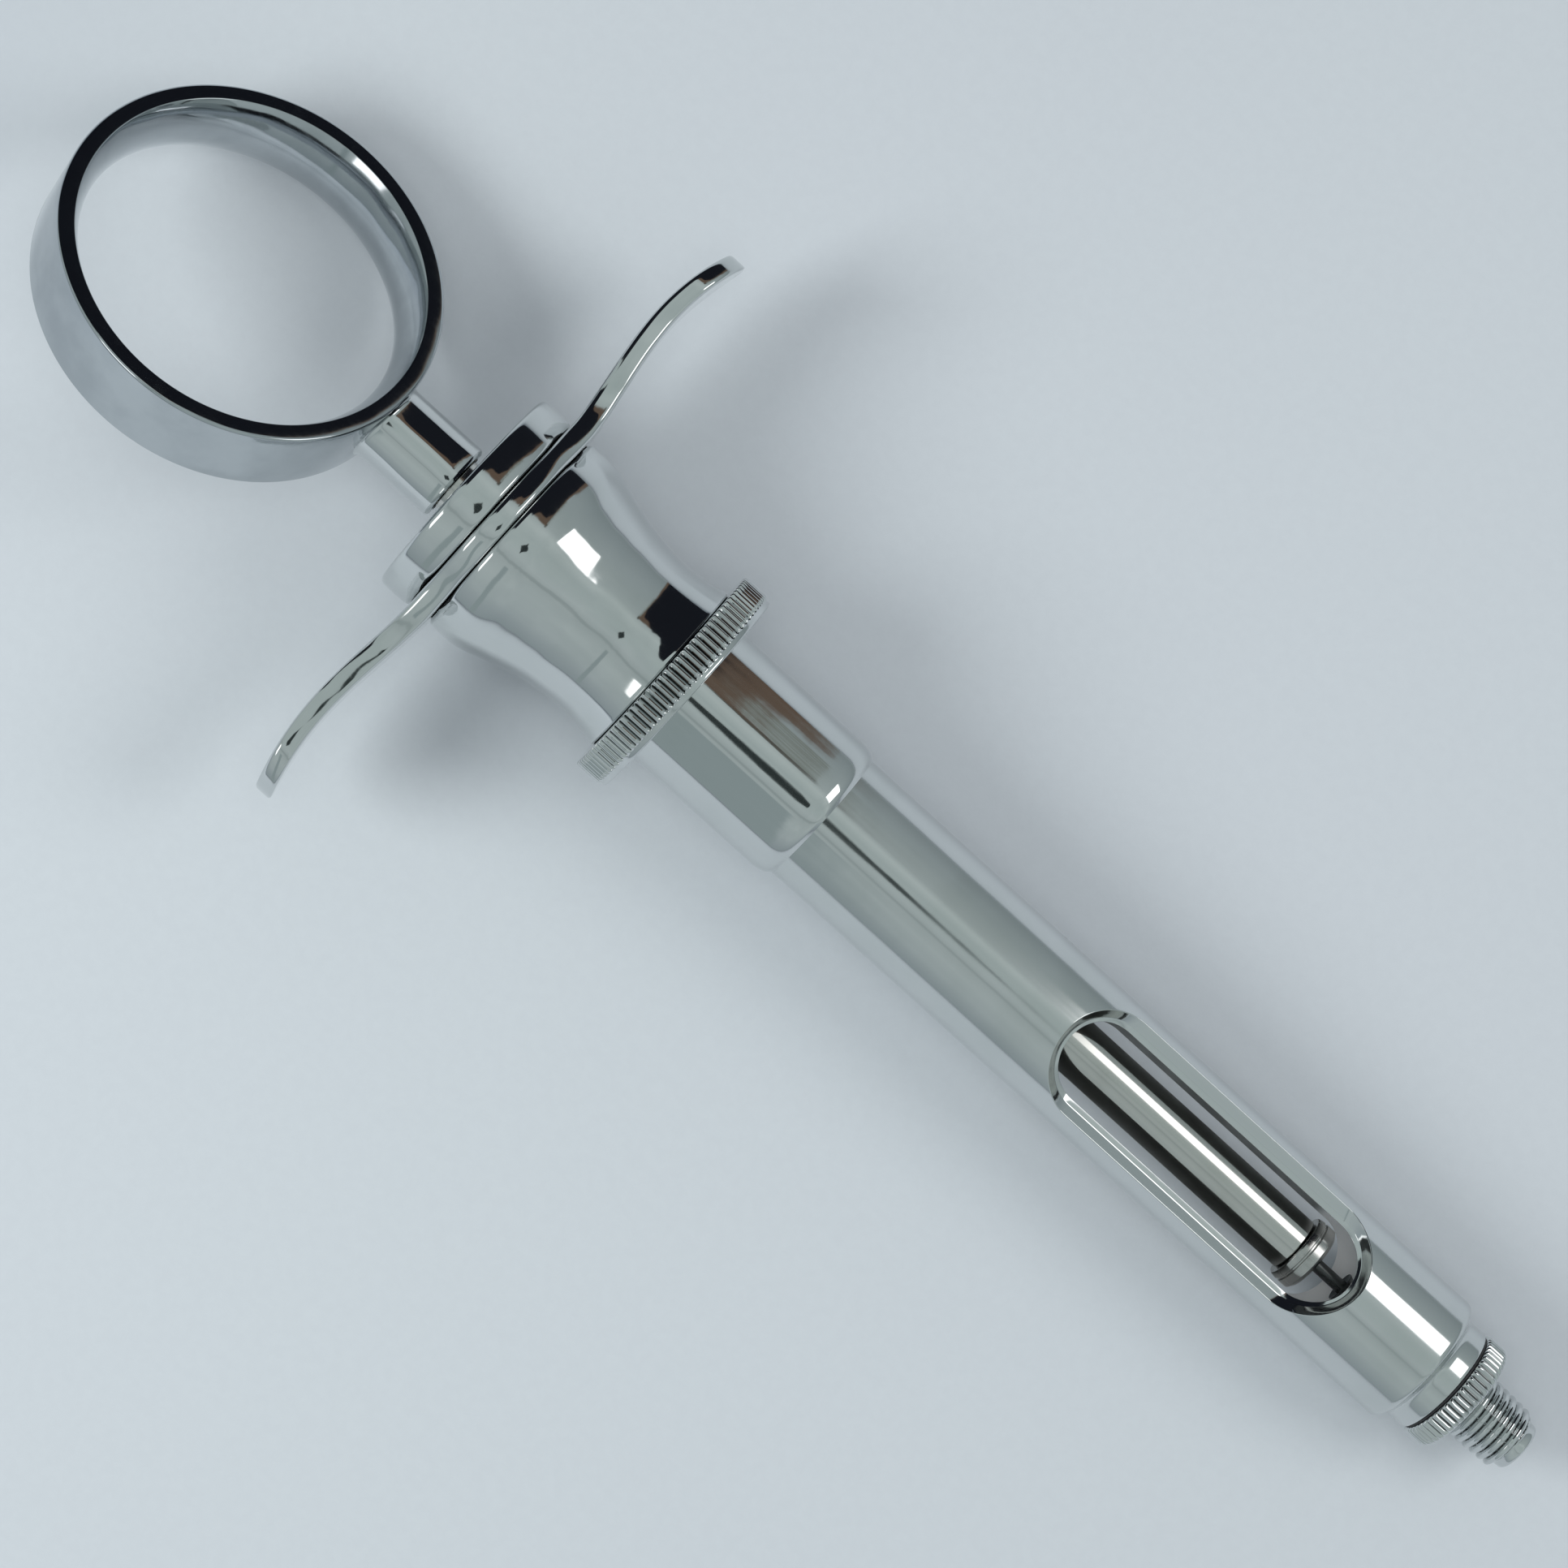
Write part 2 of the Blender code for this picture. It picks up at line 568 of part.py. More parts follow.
def make_joint_washer(parent):
    outline = tube_outline(JOINT_WASHER_REAR, JOINT_WASHER_REAR + JOINT_WASHER,
                           SPIGOT_RADIUS + GAP, SOCKET_RADIUS)
    return turned("joint_washer", outline, rubber("joint_washer"), parent, facets=INNER_FACETS)


def make_barrel_socket(parent):
    """Sleeve that carries the female thread, with a soft shoulder down to the barrel tube."""
    step = SOCKET_RADIUS - TUBE_RADIUS
    shoulder = arc(SOCKET_FRONT - SOCKET_SHOULDER, TUBE_RADIUS, SOCKET_SHOULDER, step, 90, 0, 6)
    outline = [(SOCKET_REAR, SOCKET_BORE), (SOCKET_REAR, SOCKET_RADIUS)] + shoulder
    outline.append((SOCKET_FRONT, SOCKET_BORE))
    return turned("barrel_socket", outline, chrome("barrel_socket"), parent)


def obround(size, steps=8):
    """Points (x, y) round a slot of half length and half width size, centred on the origin."""
    half_length, half_width = size
    straight = half_length - half_width
    points = []
    for side in (1, -1):
        for i in range(steps + 1):
            angle = math.pi * (i / steps - 0.5)
            points.append((side * (straight + half_width * math.cos(angle)), side * half_width * math.sin(angle)))
    return points


def make_window_cutter():
    """Two flared slots, above and below the axis, wider on the tube's outside than on its bore."""
    bm = bmesh.new()
    for up in (1, -1):
        loops = [[], [], [], []]
        for inner, outer in zip(obround(WINDOW_INNER), obround(WINDOW_OUTER)):
            low = Vector((*inner, math.sqrt(TUBE_BORE ** 2 - inner[1] ** 2)))
            high = Vector((*outer, math.sqrt(TUBE_RADIUS ** 2 - outer[1] ** 2)))
            far = high + (high - low)
            centre = Vector((inner[0], inner[1], TUBE_BORE / 4))
            top = Vector((far.x, far.y, 2 * TUBE_RADIUS))
            for loop, point in zip(loops, (centre, low, far, top)):
                loop.append(bm.verts.new((WINDOW_CENTRE + point.x, point.y, up * point.z)))
        lofted(bm, loops)
    return add_object("window_cutter", bm, steel("window_cutter"), None, WINDOW_CENTRE)


def make_barrel_tube(parent):
    """Tube with a stepped tail in the socket, two windows, and a rounded shoulder down to its neck."""
    tail_radius = SOCKET_BORE - GAP
    tail_rear = SOCKET_FRONT - TUBE_TAIL
    shoulder_end = TUBE_SHOULDER + SHOULDER_LENGTH
    shoulder = bezier((TUBE_SHOULDER, TUBE_RADIUS), (TUBE_SHOULDER + 0.65 * SHOULDER_LENGTH, TUBE_RADIUS),
                      (TUBE_SHOULDER + 0.35 * SHOULDER_LENGTH, NECK_RADIUS), (shoulder_end, NECK_RADIUS), 6)
    outline = [(tail_rear, TUBE_BORE), (tail_rear, tail_radius), (TUBE_REAR, tail_radius)]
    outline += [(TUBE_REAR, TUBE_RADIUS)] + shoulder
    outline += [(NECK_FRONT, NECK_RADIUS), (NECK_FRONT, NECK_BORE)]
    outline += [(CHAMBER_FRONT, NECK_BORE), (CHAMBER_FRONT, TUBE_BORE)]
    tube = turned("barrel_tube", outline, chrome("barrel_tube"), parent)
    cut(tube, make_window_cutter())
    return tube


# ---------------------------------------------------------------- needle adaptor

def make_adaptor_washer(parent):
    outline = tube_outline(ADAPTOR_WASHER_REAR, ADAPTOR_WASHER_REAR + ADAPTOR_WASHER,
                           NECK_BORE, ADAPTOR_WASHER_RADIUS)
    return turned("adaptor_washer", outline, rubber("adaptor_washer"), parent, facets=INNER_FACETS)


def thread_ridges():
    """Points (x, r) of the needle thread's ridges, whose crests come down slightly towards the nose."""
    points = [(FLANGE_FRONT, THREAD_RUNOUT)]
    for turn in range(THREAD_TURNS):
        crest = THREAD_CREST + (THREAD_END_CREST - THREAD_CREST) * turn / (THREAD_TURNS - 1)
        crest_x = FLANGE_FRONT + THREAD_PITCH * (turn + 1)
        points.append((crest_x - THREAD_PITCH / 2, crest - THREAD_DEPTH))
        points.append((crest_x, crest))
    points.append((crest_x + THREAD_PITCH / 2, NOSE_RADIUS))
    return points


def make_needle_adaptor(parent):
    """Flange with a ridged edge, a tail that screws into the neck, and the threaded stub for the needle."""
    share = 4
    stations = ((FLANGE_REAR, FLANGE_RADIUS - FLANGE_EDGE, 0.0),
                (FLANGE_REAR + FLANGE_EDGE, FLANGE_RADIUS, FLANGE_DEPTH),
                (FLANGE_FRONT - FLANGE_EDGE, FLANGE_RADIUS, FLANGE_DEPTH),
                (FLANGE_FRONT, FLANGE_RADIUS - FLANGE_EDGE, 0.0))
    nose_edge = 0.5 * MM
    tail_rear = FLANGE_REAR - ADAPTOR_TAIL
    front = thread_ridges()
    front += arc(NOSE_FRONT - nose_edge, NOSE_RADIUS - nose_edge, nose_edge, nose_edge, 90, 0, 3)
    front.append((NOSE_FRONT, NEEDLE_BORE))
    rear = [(FLANGE_REAR, ADAPTOR_TAIL_RADIUS), (tail_rear, ADAPTOR_TAIL_RADIUS), (tail_rear, NEEDLE_BORE)]
    bm = bmesh.new()
    flange = [toothed_loop(bm, x, radius, depth, FLANGE_RIDGES) for x, radius, depth in stations]
    stub = [toothed_loop(bm, x, r, 0.0, FLANGE_RIDGES, share) for x, r in front]
    tail = [toothed_loop(bm, x, r, 0.0, FLANGE_RIDGES, share) for x, r in rear]
    for run in (flange, stub, tail):
        for loop_a, loop_b in zip(run, run[1:]):
            skin(bm, loop_a, loop_b)
    skin(bm, flange[-1], stub[0])
    skin(bm, flange[0], tail[0])
    skin(bm, stub[-1], tail[-1])
    return add_object("needle_adaptor", bm, chrome("needle_adaptor"), parent, FLANGE_REAR)


# ---------------------------------------------------------------- assembly

def clear_scene():
    for item in list(bpy.data.objects):
        bpy.data.objects.remove(item)


def main():
    clear_scene()

    make_grip_body()
    make_finger_grip()
    make_rear_cap()
    make_guide_bearing()
    make_seal_retainer()
    make_locating_pin()
    make_threaded_spigot()
    make_cartridge_spring()

    seal = joint_empty("seal_turn", SEAL_REAR)
    make_rod_seal(seal)

    plunger = joint_empty("plunger_slide", STEM_FRONT)
    make_plunger_rod(plunger)
    make_plunger_head(plunger)
    make_harpoon(plunger)
    make_ring_stem(plunger)
    make_thumb_ring(plunger)

    pusher = joint_empty("pusher_slide", PUSHER_REAR)
    make_cartridge_pusher(pusher)

    washer = joint_empty("barrel_advance", SEAT)
    make_joint_washer(washer)

    barrel = joint_empty("barrel_turn", SEAT)
    make_knurled_ring(barrel)
    make_barrel_socket(barrel)
    make_barrel_tube(barrel)

    adaptor_seat = joint_empty("adaptor_advance", NECK_FRONT)
    make_adaptor_washer(adaptor_seat)

    adaptor = joint_empty("adaptor_turn", FLANGE_REAR)
    make_needle_adaptor(adaptor)

    bpy.context.view_layer.update()


main()
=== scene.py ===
"""Looks for the aspirating dental syringe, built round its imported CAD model.

X runs along the syringe towards the needle, Z is up through the upper barrel window, and Y runs along
the finger wings. Lengths are in metres. Places and sizes come from the CAD boxes.
"""
import json
import math

import bmesh
import bpy
import numpy as np
from mathutils import Matrix, Vector

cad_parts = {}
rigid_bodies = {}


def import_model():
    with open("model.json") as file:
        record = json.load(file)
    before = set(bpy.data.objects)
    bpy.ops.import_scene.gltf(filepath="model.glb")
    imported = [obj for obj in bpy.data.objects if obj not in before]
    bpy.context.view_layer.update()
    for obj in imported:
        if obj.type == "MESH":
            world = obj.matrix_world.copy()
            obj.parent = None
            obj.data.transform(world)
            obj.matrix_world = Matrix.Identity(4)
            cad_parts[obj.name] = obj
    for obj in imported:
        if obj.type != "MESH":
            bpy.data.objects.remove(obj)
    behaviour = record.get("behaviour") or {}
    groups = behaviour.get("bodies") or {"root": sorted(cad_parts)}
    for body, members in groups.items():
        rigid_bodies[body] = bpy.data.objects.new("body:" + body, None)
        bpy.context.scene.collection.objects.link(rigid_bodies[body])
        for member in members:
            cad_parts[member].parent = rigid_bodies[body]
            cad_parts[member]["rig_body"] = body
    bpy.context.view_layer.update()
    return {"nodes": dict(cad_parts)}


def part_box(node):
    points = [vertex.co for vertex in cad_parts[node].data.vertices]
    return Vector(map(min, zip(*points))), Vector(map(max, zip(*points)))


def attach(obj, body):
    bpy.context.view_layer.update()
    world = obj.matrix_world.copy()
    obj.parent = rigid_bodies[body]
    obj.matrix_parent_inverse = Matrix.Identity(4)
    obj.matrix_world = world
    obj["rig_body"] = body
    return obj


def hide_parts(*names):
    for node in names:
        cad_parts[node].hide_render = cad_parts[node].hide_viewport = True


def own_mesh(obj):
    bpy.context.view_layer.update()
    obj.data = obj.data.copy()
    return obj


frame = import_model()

MM = 0.001

STEPS = 192          # facets round a turned piece
SEAM = 0.13 * MM     # how far a visible piece closes the CAD model's assembly gap from its own side
SHARP = math.radians(38)


# ---------------------------------------------------------------- node trees

def connect(tree, value, socket):
    """Links an output to the socket, or sets the socket's own value."""
    if isinstance(value, bpy.types.NodeSocket):
        tree.links.new(value, socket)
    else:
        socket.default_value = value


def calc(tree, operation, *values):
    """Output of a Math node."""
    node = tree.nodes.new("ShaderNodeMath")
    node.operation = operation
    for value, socket in zip(values, node.inputs):
        connect(tree, value, socket)
    return node.outputs[0]


def dot(tree, vector, axis):
    """Output of a dot product with a fixed axis."""
    node = tree.nodes.new("ShaderNodeVectorMath")
    node.operation = "DOT_PRODUCT"
    connect(tree, vector, node.inputs[0])
    node.inputs[1].default_value = tuple(axis)
    return node.outputs["Value"]


def step(tree, value, low, high):
    """0 below low and 1 above high, smooth between them. Low may be above high."""
    node = tree.nodes.new("ShaderNodeMapRange")
    node.interpolation_type = "SMOOTHSTEP"
    connect(tree, value, node.inputs["Value"])
    falling = low > high
    node.inputs["From Min"].default_value = min(low, high)
    node.inputs["From Max"].default_value = max(low, high)
    node.inputs["To Min"].default_value = 1.0 if falling else 0.0
    node.inputs["To Max"].default_value = 0.0 if falling else 1.0
    return node.outputs["Result"]


def band(tree, value, low, high, soft):
    """1 between low and high, with soft edges."""
    return calc(tree, "MULTIPLY", step(tree, value, low - soft, low + soft),
                step(tree, value, high + soft, high - soft))


def mix(tree, factor, first, second):
    """Colour between first at factor 0 and second at factor 1."""
    node = tree.nodes.new("ShaderNodeMix")
    node.data_type = "RGBA"
    connect(tree, factor, node.inputs[0])
    connect(tree, first, node.inputs[6])
    connect(tree, second, node.inputs[7])
    return node.outputs[2]


def linear(red, green, blue, gain=1.0):
    """Linear RGBA of an sRGB colour given in 0-255, times gain."""
    channels = [(c / 255.0 + 0.055) / 1.055 for c in (red, green, blue)]
    return (*[gain * max(c, 0.0) ** 2.4 for c in channels], 1.0)


def ramp(tree, value, stops):
    """Colour ramp over (position 0-1, colour) stops."""
    node = tree.nodes.new("ShaderNodeValToRGB")
    elements = node.color_ramp.elements
    while len(elements) < len(stops):
        elements.new(0.5)
    for element, (position, colour) in zip(elements, stops):
        element.position = position
        element.color = colour
    connect(tree, value, node.inputs[0])
    return node.outputs[0]


def place(tree, scale, turn=(0.0, 0.0, 0.0)):
    """The piece's own coordinates, turned and scaled per axis."""
    source = tree.nodes.new("ShaderNodeTexCoord")
    mapping = tree.nodes.new("ShaderNodeMapping")
    mapping.inputs["Scale"].default_value = scale
    mapping.inputs["Rotation"].default_value = turn
    tree.links.new(source.outputs["Object"], mapping.inputs["Vector"])
    return mapping.outputs["Vector"]


def noise(tree, vector, scale, detail=3.0, roughness=0.5):
    node = tree.nodes.new("ShaderNodeTexNoise")
    connect(tree, vector, node.inputs["Vector"])
    node.inputs["Scale"].default_value = scale
    node.inputs["Detail"].default_value = detail
    node.inputs["Roughness"].default_value = roughness
    return node.outputs["Fac"]


def bump(tree, height, distance, below=None):
    node = tree.nodes.new("ShaderNodeBump")
    node.inputs["Distance"].default_value = distance
    connect(tree, height, node.inputs["Height"])
    if below is not None:
        connect(tree, below, node.inputs["Normal"])
    return node.outputs["Normal"]


def metal(name, colour, stain, rough, waves, ripple, lines, line_turn=(0.0, 0.0, 0.0), wear=0.0, groove_shade=0.0):
    """Metal with slow waviness, fine ripple, polishing lines, uneven roughness and slight staining.

    rough is (lowest, highest) roughness; waves, ripple and lines are bump heights in metres. wear roughens
    the edges, and the last amount paints shade into the grooves by darkening them."""
    material = bpy.data.materials.new(name)
    material.use_nodes = True
    tree = material.node_tree
    shader = tree.nodes["Principled BSDF"]
    shader.inputs["Metallic"].default_value = 1.0
    whole = place(tree, (1.0, 1.0, 1.0))
    along = place(tree, (60.0, 2400.0, 2400.0), line_turn)
    clouds = noise(tree, whole, 130.0, 4.0, 0.55)
    specks = noise(tree, whole, 1500.0, 2.0, 0.6)
    grain = noise(tree, along, 1.0, 3.0, 0.6)
    pointed = tree.nodes.new("ShaderNodeNewGeometry").outputs["Pointiness"]
    surface = mix(tree, step(tree, clouds, 0.42, 0.72), colour, stain)
    # painted shade: concave grooves are darkened towards near black
    if groove_shade:
        surface = mix(tree, calc(tree, "MULTIPLY", step(tree, pointed, 0.485, 0.43), groove_shade), surface,
                      (0.06, 0.064, 0.064, 1.0))
    connect(tree, surface, shader.inputs["Base Color"])
    spread = calc(tree, "MULTIPLY_ADD", step(tree, clouds, 0.3, 0.7), 0.55,
                  calc(tree, "MULTIPLY", step(tree, grain, 0.35, 0.75), 0.45))
    if wear:
        edges = step(tree, pointed, 0.515, 0.6)
        spread = calc(tree, "MULTIPLY_ADD", calc(tree, "MULTIPLY", edges, specks), wear, spread)
    connect(tree, calc(tree, "MULTIPLY_ADD", spread, rough[1] - rough[0], rough[0]),
            shader.inputs["Roughness"])
    slow = bump(tree, noise(tree, whole, 170.0, 1.0), waves)
    fine = bump(tree, noise(tree, place(tree, (900.0, 2600.0, 2600.0)), 1.0, 1.0), ripple, slow)
    connect(tree, bump(tree, grain, lines, fine), shader.inputs["Normal"])
    return material


CHROME_COLOUR = (0.655, 0.675, 0.675, 1.0)
CHROME_STAIN = (0.62, 0.645, 0.64, 1.0)


def chrome(name, waves):
    return metal(name, CHROME_COLOUR, CHROME_STAIN, (0.035, 0.085), waves, 8e-7, 2e-7, wear=0.9)


def chrome_ring():
    """Ring chrome, duller and darker than the rest."""
    return metal("chrome_ring", (0.51, 0.54, 0.56, 1.0), (0.42, 0.45, 0.47, 1.0), (0.05, 0.14),
                 1.6e-4, 9e-7, 2e-7, wear=0.9)


def chrome_satin():
    """Barrel chrome: polished over diagonal machining streaks."""
    return metal("chrome_barrel", CHROME_COLOUR, CHROME_STAIN, (0.06, 0.13),
                 2e-5, 6e-7, 5e-7, line_turn=(0.0, 0.0, math.radians(52)), wear=0.6)


def chrome_knurl():
    """Chrome with painted shade darkening the grooves."""
    return metal("chrome_knurl", (0.66, 0.68, 0.68, 1.0), (0.56, 0.58, 0.58, 1.0), (0.03, 0.09),
                 5e-6, 9e-7, 2e-7, wear=0.3, groove_shade=0.85)


def bore_steel():
    """Unpolished inside of the barrel, stained beside the rod, with painted light at the front end: pale and matt
    there, standing in for the light seen there.
    """
    material = metal("bore_steel", (0.30, 0.30, 0.29, 1.0), (0.22, 0.22, 0.21, 1.0), (0.42, 0.6), 5e-6, 1e-6, 6e-7)
    tree = material.node_tree
    shader = tree.nodes["Principled BSDF"]
    stained = shader.inputs["Base Color"].links[0].from_socket
    at = tree.nodes.new("ShaderNodeSeparateXYZ")
    tree.links.new(tree.nodes.new("ShaderNodeTexCoord").outputs["Object"], at.inputs[0])
    # painted light: beyond 52.5 mm the bore turns pale and non-metallic
    front = step(tree, at.outputs["X"], 52.5 * MM, 54.0 * MM)
    connect(tree, mix(tree, front, stained, (0.93, 0.94, 0.94, 1.0)), shader.inputs["Base Color"])
    connect(tree, calc(tree, "MULTIPLY_ADD", front, -1.0, 1.0), shader.inputs["Metallic"])
    return material


def rod_steel():
    """Drawn steel with fine marks along the rod."""
    return metal("rod_steel", (0.60, 0.60, 0.575, 1.0), (0.52, 0.515, 0.485, 1.0), (0.10, 0.19),
                 4e-6, 2e-7, 4e-7)


def joint_shade_steel():
    """Dull dark faces where parts are clamped together: painted shade for the crevices between them."""
    return metal("joint_shade_steel", (0.045, 0.047, 0.05, 1.0), (0.03, 0.031, 0.033, 1.0), (0.4, 0.6),
                 3e-6, 6e-7, 6e-7)


def plain_steel():
    return metal("plain_steel", (0.50, 0.50, 0.485, 1.0), (0.40, 0.395, 0.38, 1.0), (0.18, 0.34),
                 4e-6, 6e-7, 8e-7)


def dark_steel():
    """Dark harpoon: its dark colour is a painted reflection of the dark bore round it."""
    return metal("harpoon_steel", (0.10, 0.105, 0.105, 1.0), (0.06, 0.062, 0.06, 1.0), (0.22, 0.4),
                 3e-6, 6e-7, 6e-7)


def brass():
    return metal("brass_turned", (0.66, 0.48, 0.21, 1.0), (0.52, 0.36, 0.15, 1.0), (0.16, 0.32),
                 4e-6, 5e-7, 8e-7)


def rubber(name, colour):
    """Matt rubber with a fine moulded grain."""
    material = bpy.data.materials.new(name)
    material.use_nodes = True
    tree = material.node_tree
    shader = tree.nodes["Principled BSDF"]
    whole = place(tree, (1.0, 1.0, 1.0))
    grain = noise(tree, whole, 5200.0, 3.0, 0.6)
    dust = noise(tree, whole, 700.0, 4.0, 0.6)
    pale = tuple(min(1.0, c * 1.9 + 0.012) for c in colour[:3]) + (1.0,)
    connect(tree, mix(tree, step(tree, dust, 0.5, 0.8), colour, pale), shader.inputs["Base Color"])
    connect(tree, calc(tree, "MULTIPLY_ADD", grain, 0.3, 0.5), shader.inputs["Roughness"])
    connect(tree, bump(tree, grain, 2e-5), shader.inputs["Normal"])
    return material


# ---------------------------------------------------------------- mesh helpers

def rounded(corners, segments=6):
    """Closed outline of (x, r, radius) corners, each turned into an arc. Radius 0 keeps the point as it is."""
    outline = []
    count = len(corners)
    for i, (x, r, radius) in enumerate(corners):
        if not radius:
            outline.append((x, r))
            continue
        here = np.array((x, r))
        arms = [np.array(corners[k % count][:2]) - here for k in (i - 1, i + 1)]
        arms = [arm / np.linalg.norm(arm) for arm in arms]
        half = 0.5 * math.acos(float(np.clip(arms[0] @ arms[1], -1, 1)))
        middle = arms[0] + arms[1]
        centre = here + middle / np.linalg.norm(middle) * radius / math.sin(half)
        ends = [here + arm * radius / math.tan(half) - centre for arm in arms]
        first, last = (math.atan2(end[1], end[0]) for end in ends)
        turn = (last - first + math.pi) % math.tau - math.pi
        for k in range(segments + 1):
            angle = first + turn * k / segments
            outline.append((centre[0] + radius * math.cos(angle), centre[1] + radius * math.sin(angle)))
    return outline


def bezier(p0, p1, p2, p3, steps):
    """Points along a cubic curve from p0 to p3."""
    t = np.linspace(0, 1, steps + 1)[:, None]
    u = 1 - t
    points = u ** 3 * p0 + 3 * u * u * t * np.array(p1) + 3 * u * t * t * np.array(p2) + t ** 3 * np.array(p3)
    return [tuple(map(float, p)) for p in points]


def turned_rows(rows, angles=None):
    """Vertices, and the loop of vertex numbers of each (x, r) row spun about X. x and r may vary round the turn."""
    if angles is None:
        angles = math.tau * np.arange(STEPS) / STEPS
    verts, loops = [], []
    for x, r in rows:
        x, r = np.broadcast_to(x, len(angles)), np.broadcast_to(r, len(angles))
        start = len(verts)
        if np.max(r) < 1e-9:
            verts.append((float(x[0]), 0.0, 0.0))
            loops.append([start] * len(angles))
            continue
        verts += [tuple(map(float, p)) for p in np.stack([x, r * np.cos(angles), r * np.sin(angles)], 1)]
        loops.append(list(range(start, start + len(angles))))
    return verts, loops


def skin(loop_a, loop_b, closed=True):
    """Quads, or triangles at a pole, between two equal loops."""
    faces = []
    count = len(loop_a)
    for i in range(count if closed else count - 1):
        j = (i + 1) % count
        face = list(dict.fromkeys((loop_a[i], loop_a[j], loop_b[j], loop_b[i])))
        if len(face) > 2:
            faces.append(face)
    return faces


def add_mesh(name, verts, faces, materials, sharp=SHARP):
    """Object from vertices and faces, smooth shaded, with weighted normals and outward faces."""
    mesh = bpy.data.meshes.new(name)
    mesh.from_pydata([tuple(v) for v in verts], [], faces)
    for material in materials:
        mesh.materials.append(material)
    if signed_volume(verts, faces) < 0:
        mesh.flip_normals()
    mesh.shade_smooth()
    if sharp:
        mesh.set_sharp_from_angle(angle=sharp)
    piece = bpy.data.objects.new(name, mesh)
    bpy.context.scene.collection.objects.link(piece)
    if sharp:
        modifier = piece.modifiers.new("weighted", "WEIGHTED_NORMAL")
        modifier.keep_sharp = True
    return piece


def signed_volume(verts, faces):
    """Six times the enclosed volume, above 0 when the faces point outwards."""
    points = np.array(verts, float)
    fans = np.array([(f[0], f[i], f[i + 1]) for f in faces for i in range(1, len(f) - 1)])
    a, b, c = points[fans[:, 0]], points[fans[:, 1]], points[fans[:, 2]]
    return float(np.einsum("ij,ij->i", a, np.cross(b, c)).sum())


def turned(name, rows, materials, closed=True, angles=None):
    """Piece from rows spun about X. An open outline starts and ends on the axis."""
    verts, loops = turned_rows(rows, angles)
    faces = []
    for loop_a, loop_b in zip(loops, loops[1:]):
        faces += skin(loop_a, loop_b)
    if closed:
        faces += skin(loops[-1], loops[0])
    return add_mesh(name, verts, faces, materials)


def stand_for(piece, node):
    """The piece rides on the CAD node's body and replaces the node, which is hidden."""
    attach(piece, frame["nodes"][node]["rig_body"])
    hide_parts(node)
    return piece


def carve(piece, cutter):
    """Takes the cutter's shape out of the piece and removes the cutter."""
    modifier = piece.modifiers.new("carve", "BOOLEAN")
    modifier.operation = "DIFFERENCE"
    modifier.solver = "EXACT"
    modifier.object = cutter
    piece.modifiers.move(len(piece.modifiers) - 1, 0)
    graph = bpy.context.evaluated_depsgraph_get()
    for other in piece.modifiers:
        other.show_viewport = other == modifier
    graph.update()
    carved = bpy.data.meshes.new_from_object(piece.evaluated_get(graph))
    piece.modifiers.remove(modifier)
    for other in piece.modifiers:
        other.show_viewport = True
    piece.data = carved
    piece.data.name = piece.name
    bpy.data.objects.remove(cutter)


def paint_joint_faces(piece, reach, slot):
    """Gives the flat end faces nearer the axis than reach another material slot, used for the painted shade of the
    crevices between parts.
    """
    for face in piece.data.polygons:
        if abs(face.normal.x) > 0.98 and math.hypot(face.center.y, face.center.z) < reach:
            face.material_index = slot


# ---------------------------------------------------------------- grip

BELL = ((0.103, 1.0), (0.155, 0.996), (0.2, 0.983), (0.235, 0.966), (0.268, 0.947), (0.332, 0.914),
        (0.395, 0.880), (0.45, 0.856), (0.52, 0.827), (0.584, 0.811), (0.648, 0.797), (0.71, 0.787),
        (0.765, 0.785), (0.81, 0.79), (0.872, 0.801), (0.935, 0.819), (0.975, 0.834))


def smooth_curve(points, steps):
    """Evenly spaced points of a smooth curve through the given ones."""
    points = np.array(points, float)
    x, y = points[:, 0], points[:, 1]
    slope = np.gradient(y, x)
    result = []
    for at in np.linspace(x[0], x[-1], steps):
        i = min(int(np.searchsorted(x, at, side="right")) - 1, len(x) - 2)
        h = x[i + 1] - x[i]
        t = (at - x[i]) / h
        result.append((at, (2 * t ** 3 - 3 * t ** 2 + 1) * y[i] + (t ** 3 - 2 * t ** 2 + t) * h * slope[i]
                       + (3 * t ** 2 - 2 * t ** 3) * y[i + 1] + (t ** 3 - t ** 2) * h * slope[i + 1]))
    heights = np.array([p[1] for p in result])
    for _ in range(6):
        heights[1:-1] = 0.25 * heights[:-2] + 0.5 * heights[1:-1] + 0.25 * heights[2:]
    return [(p[0], float(h)) for p, h in zip(result, heights)]


def make_grip_shell(material, joint):
    """Bell-shaped shell: a slightly crowned rear band, a curved waist and a flared mouth."""
    low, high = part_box("grip_body")
    radius, length = high.z, high.x - low.x
    bore, chamber, web = 5.3 * MM, 6.3 * MM, 1.6 * MM
    rear = low.x - SEAM
    rear_edge = 0.45 * MM
    curve = smooth_curve([(low.x + a * length, b * radius) for a, b in BELL], 72)
    corners = [(rear, bore, 0), (rear, radius - 0.09 * MM, rear_edge)]
    corners += [(low.x + 0.6 * MM, radius - 0.025 * MM, 0), (low.x + 1.1 * MM, radius - 0.004 * MM, 0)]
    corners += [(x, r, 0) for x, r in curve]
    corners += [(high.x + 0.06 * MM, curve[-1][1] + 0.1 * MM, 0.2 * MM)]
    corners += [(high.x + 0.06 * MM, chamber, 0.15 * MM), (low.x + web, chamber, 0.2 * MM), (low.x + web, bore, 0)]
    shell = turned("grip_shell", rounded(corners), [material, joint])
    # painted shade: the shell's flat rear faces near the axis get the dark crevice material
    paint_joint_faces(shell, radius - rear_edge, 1)
    return stand_for(shell, "grip_body")


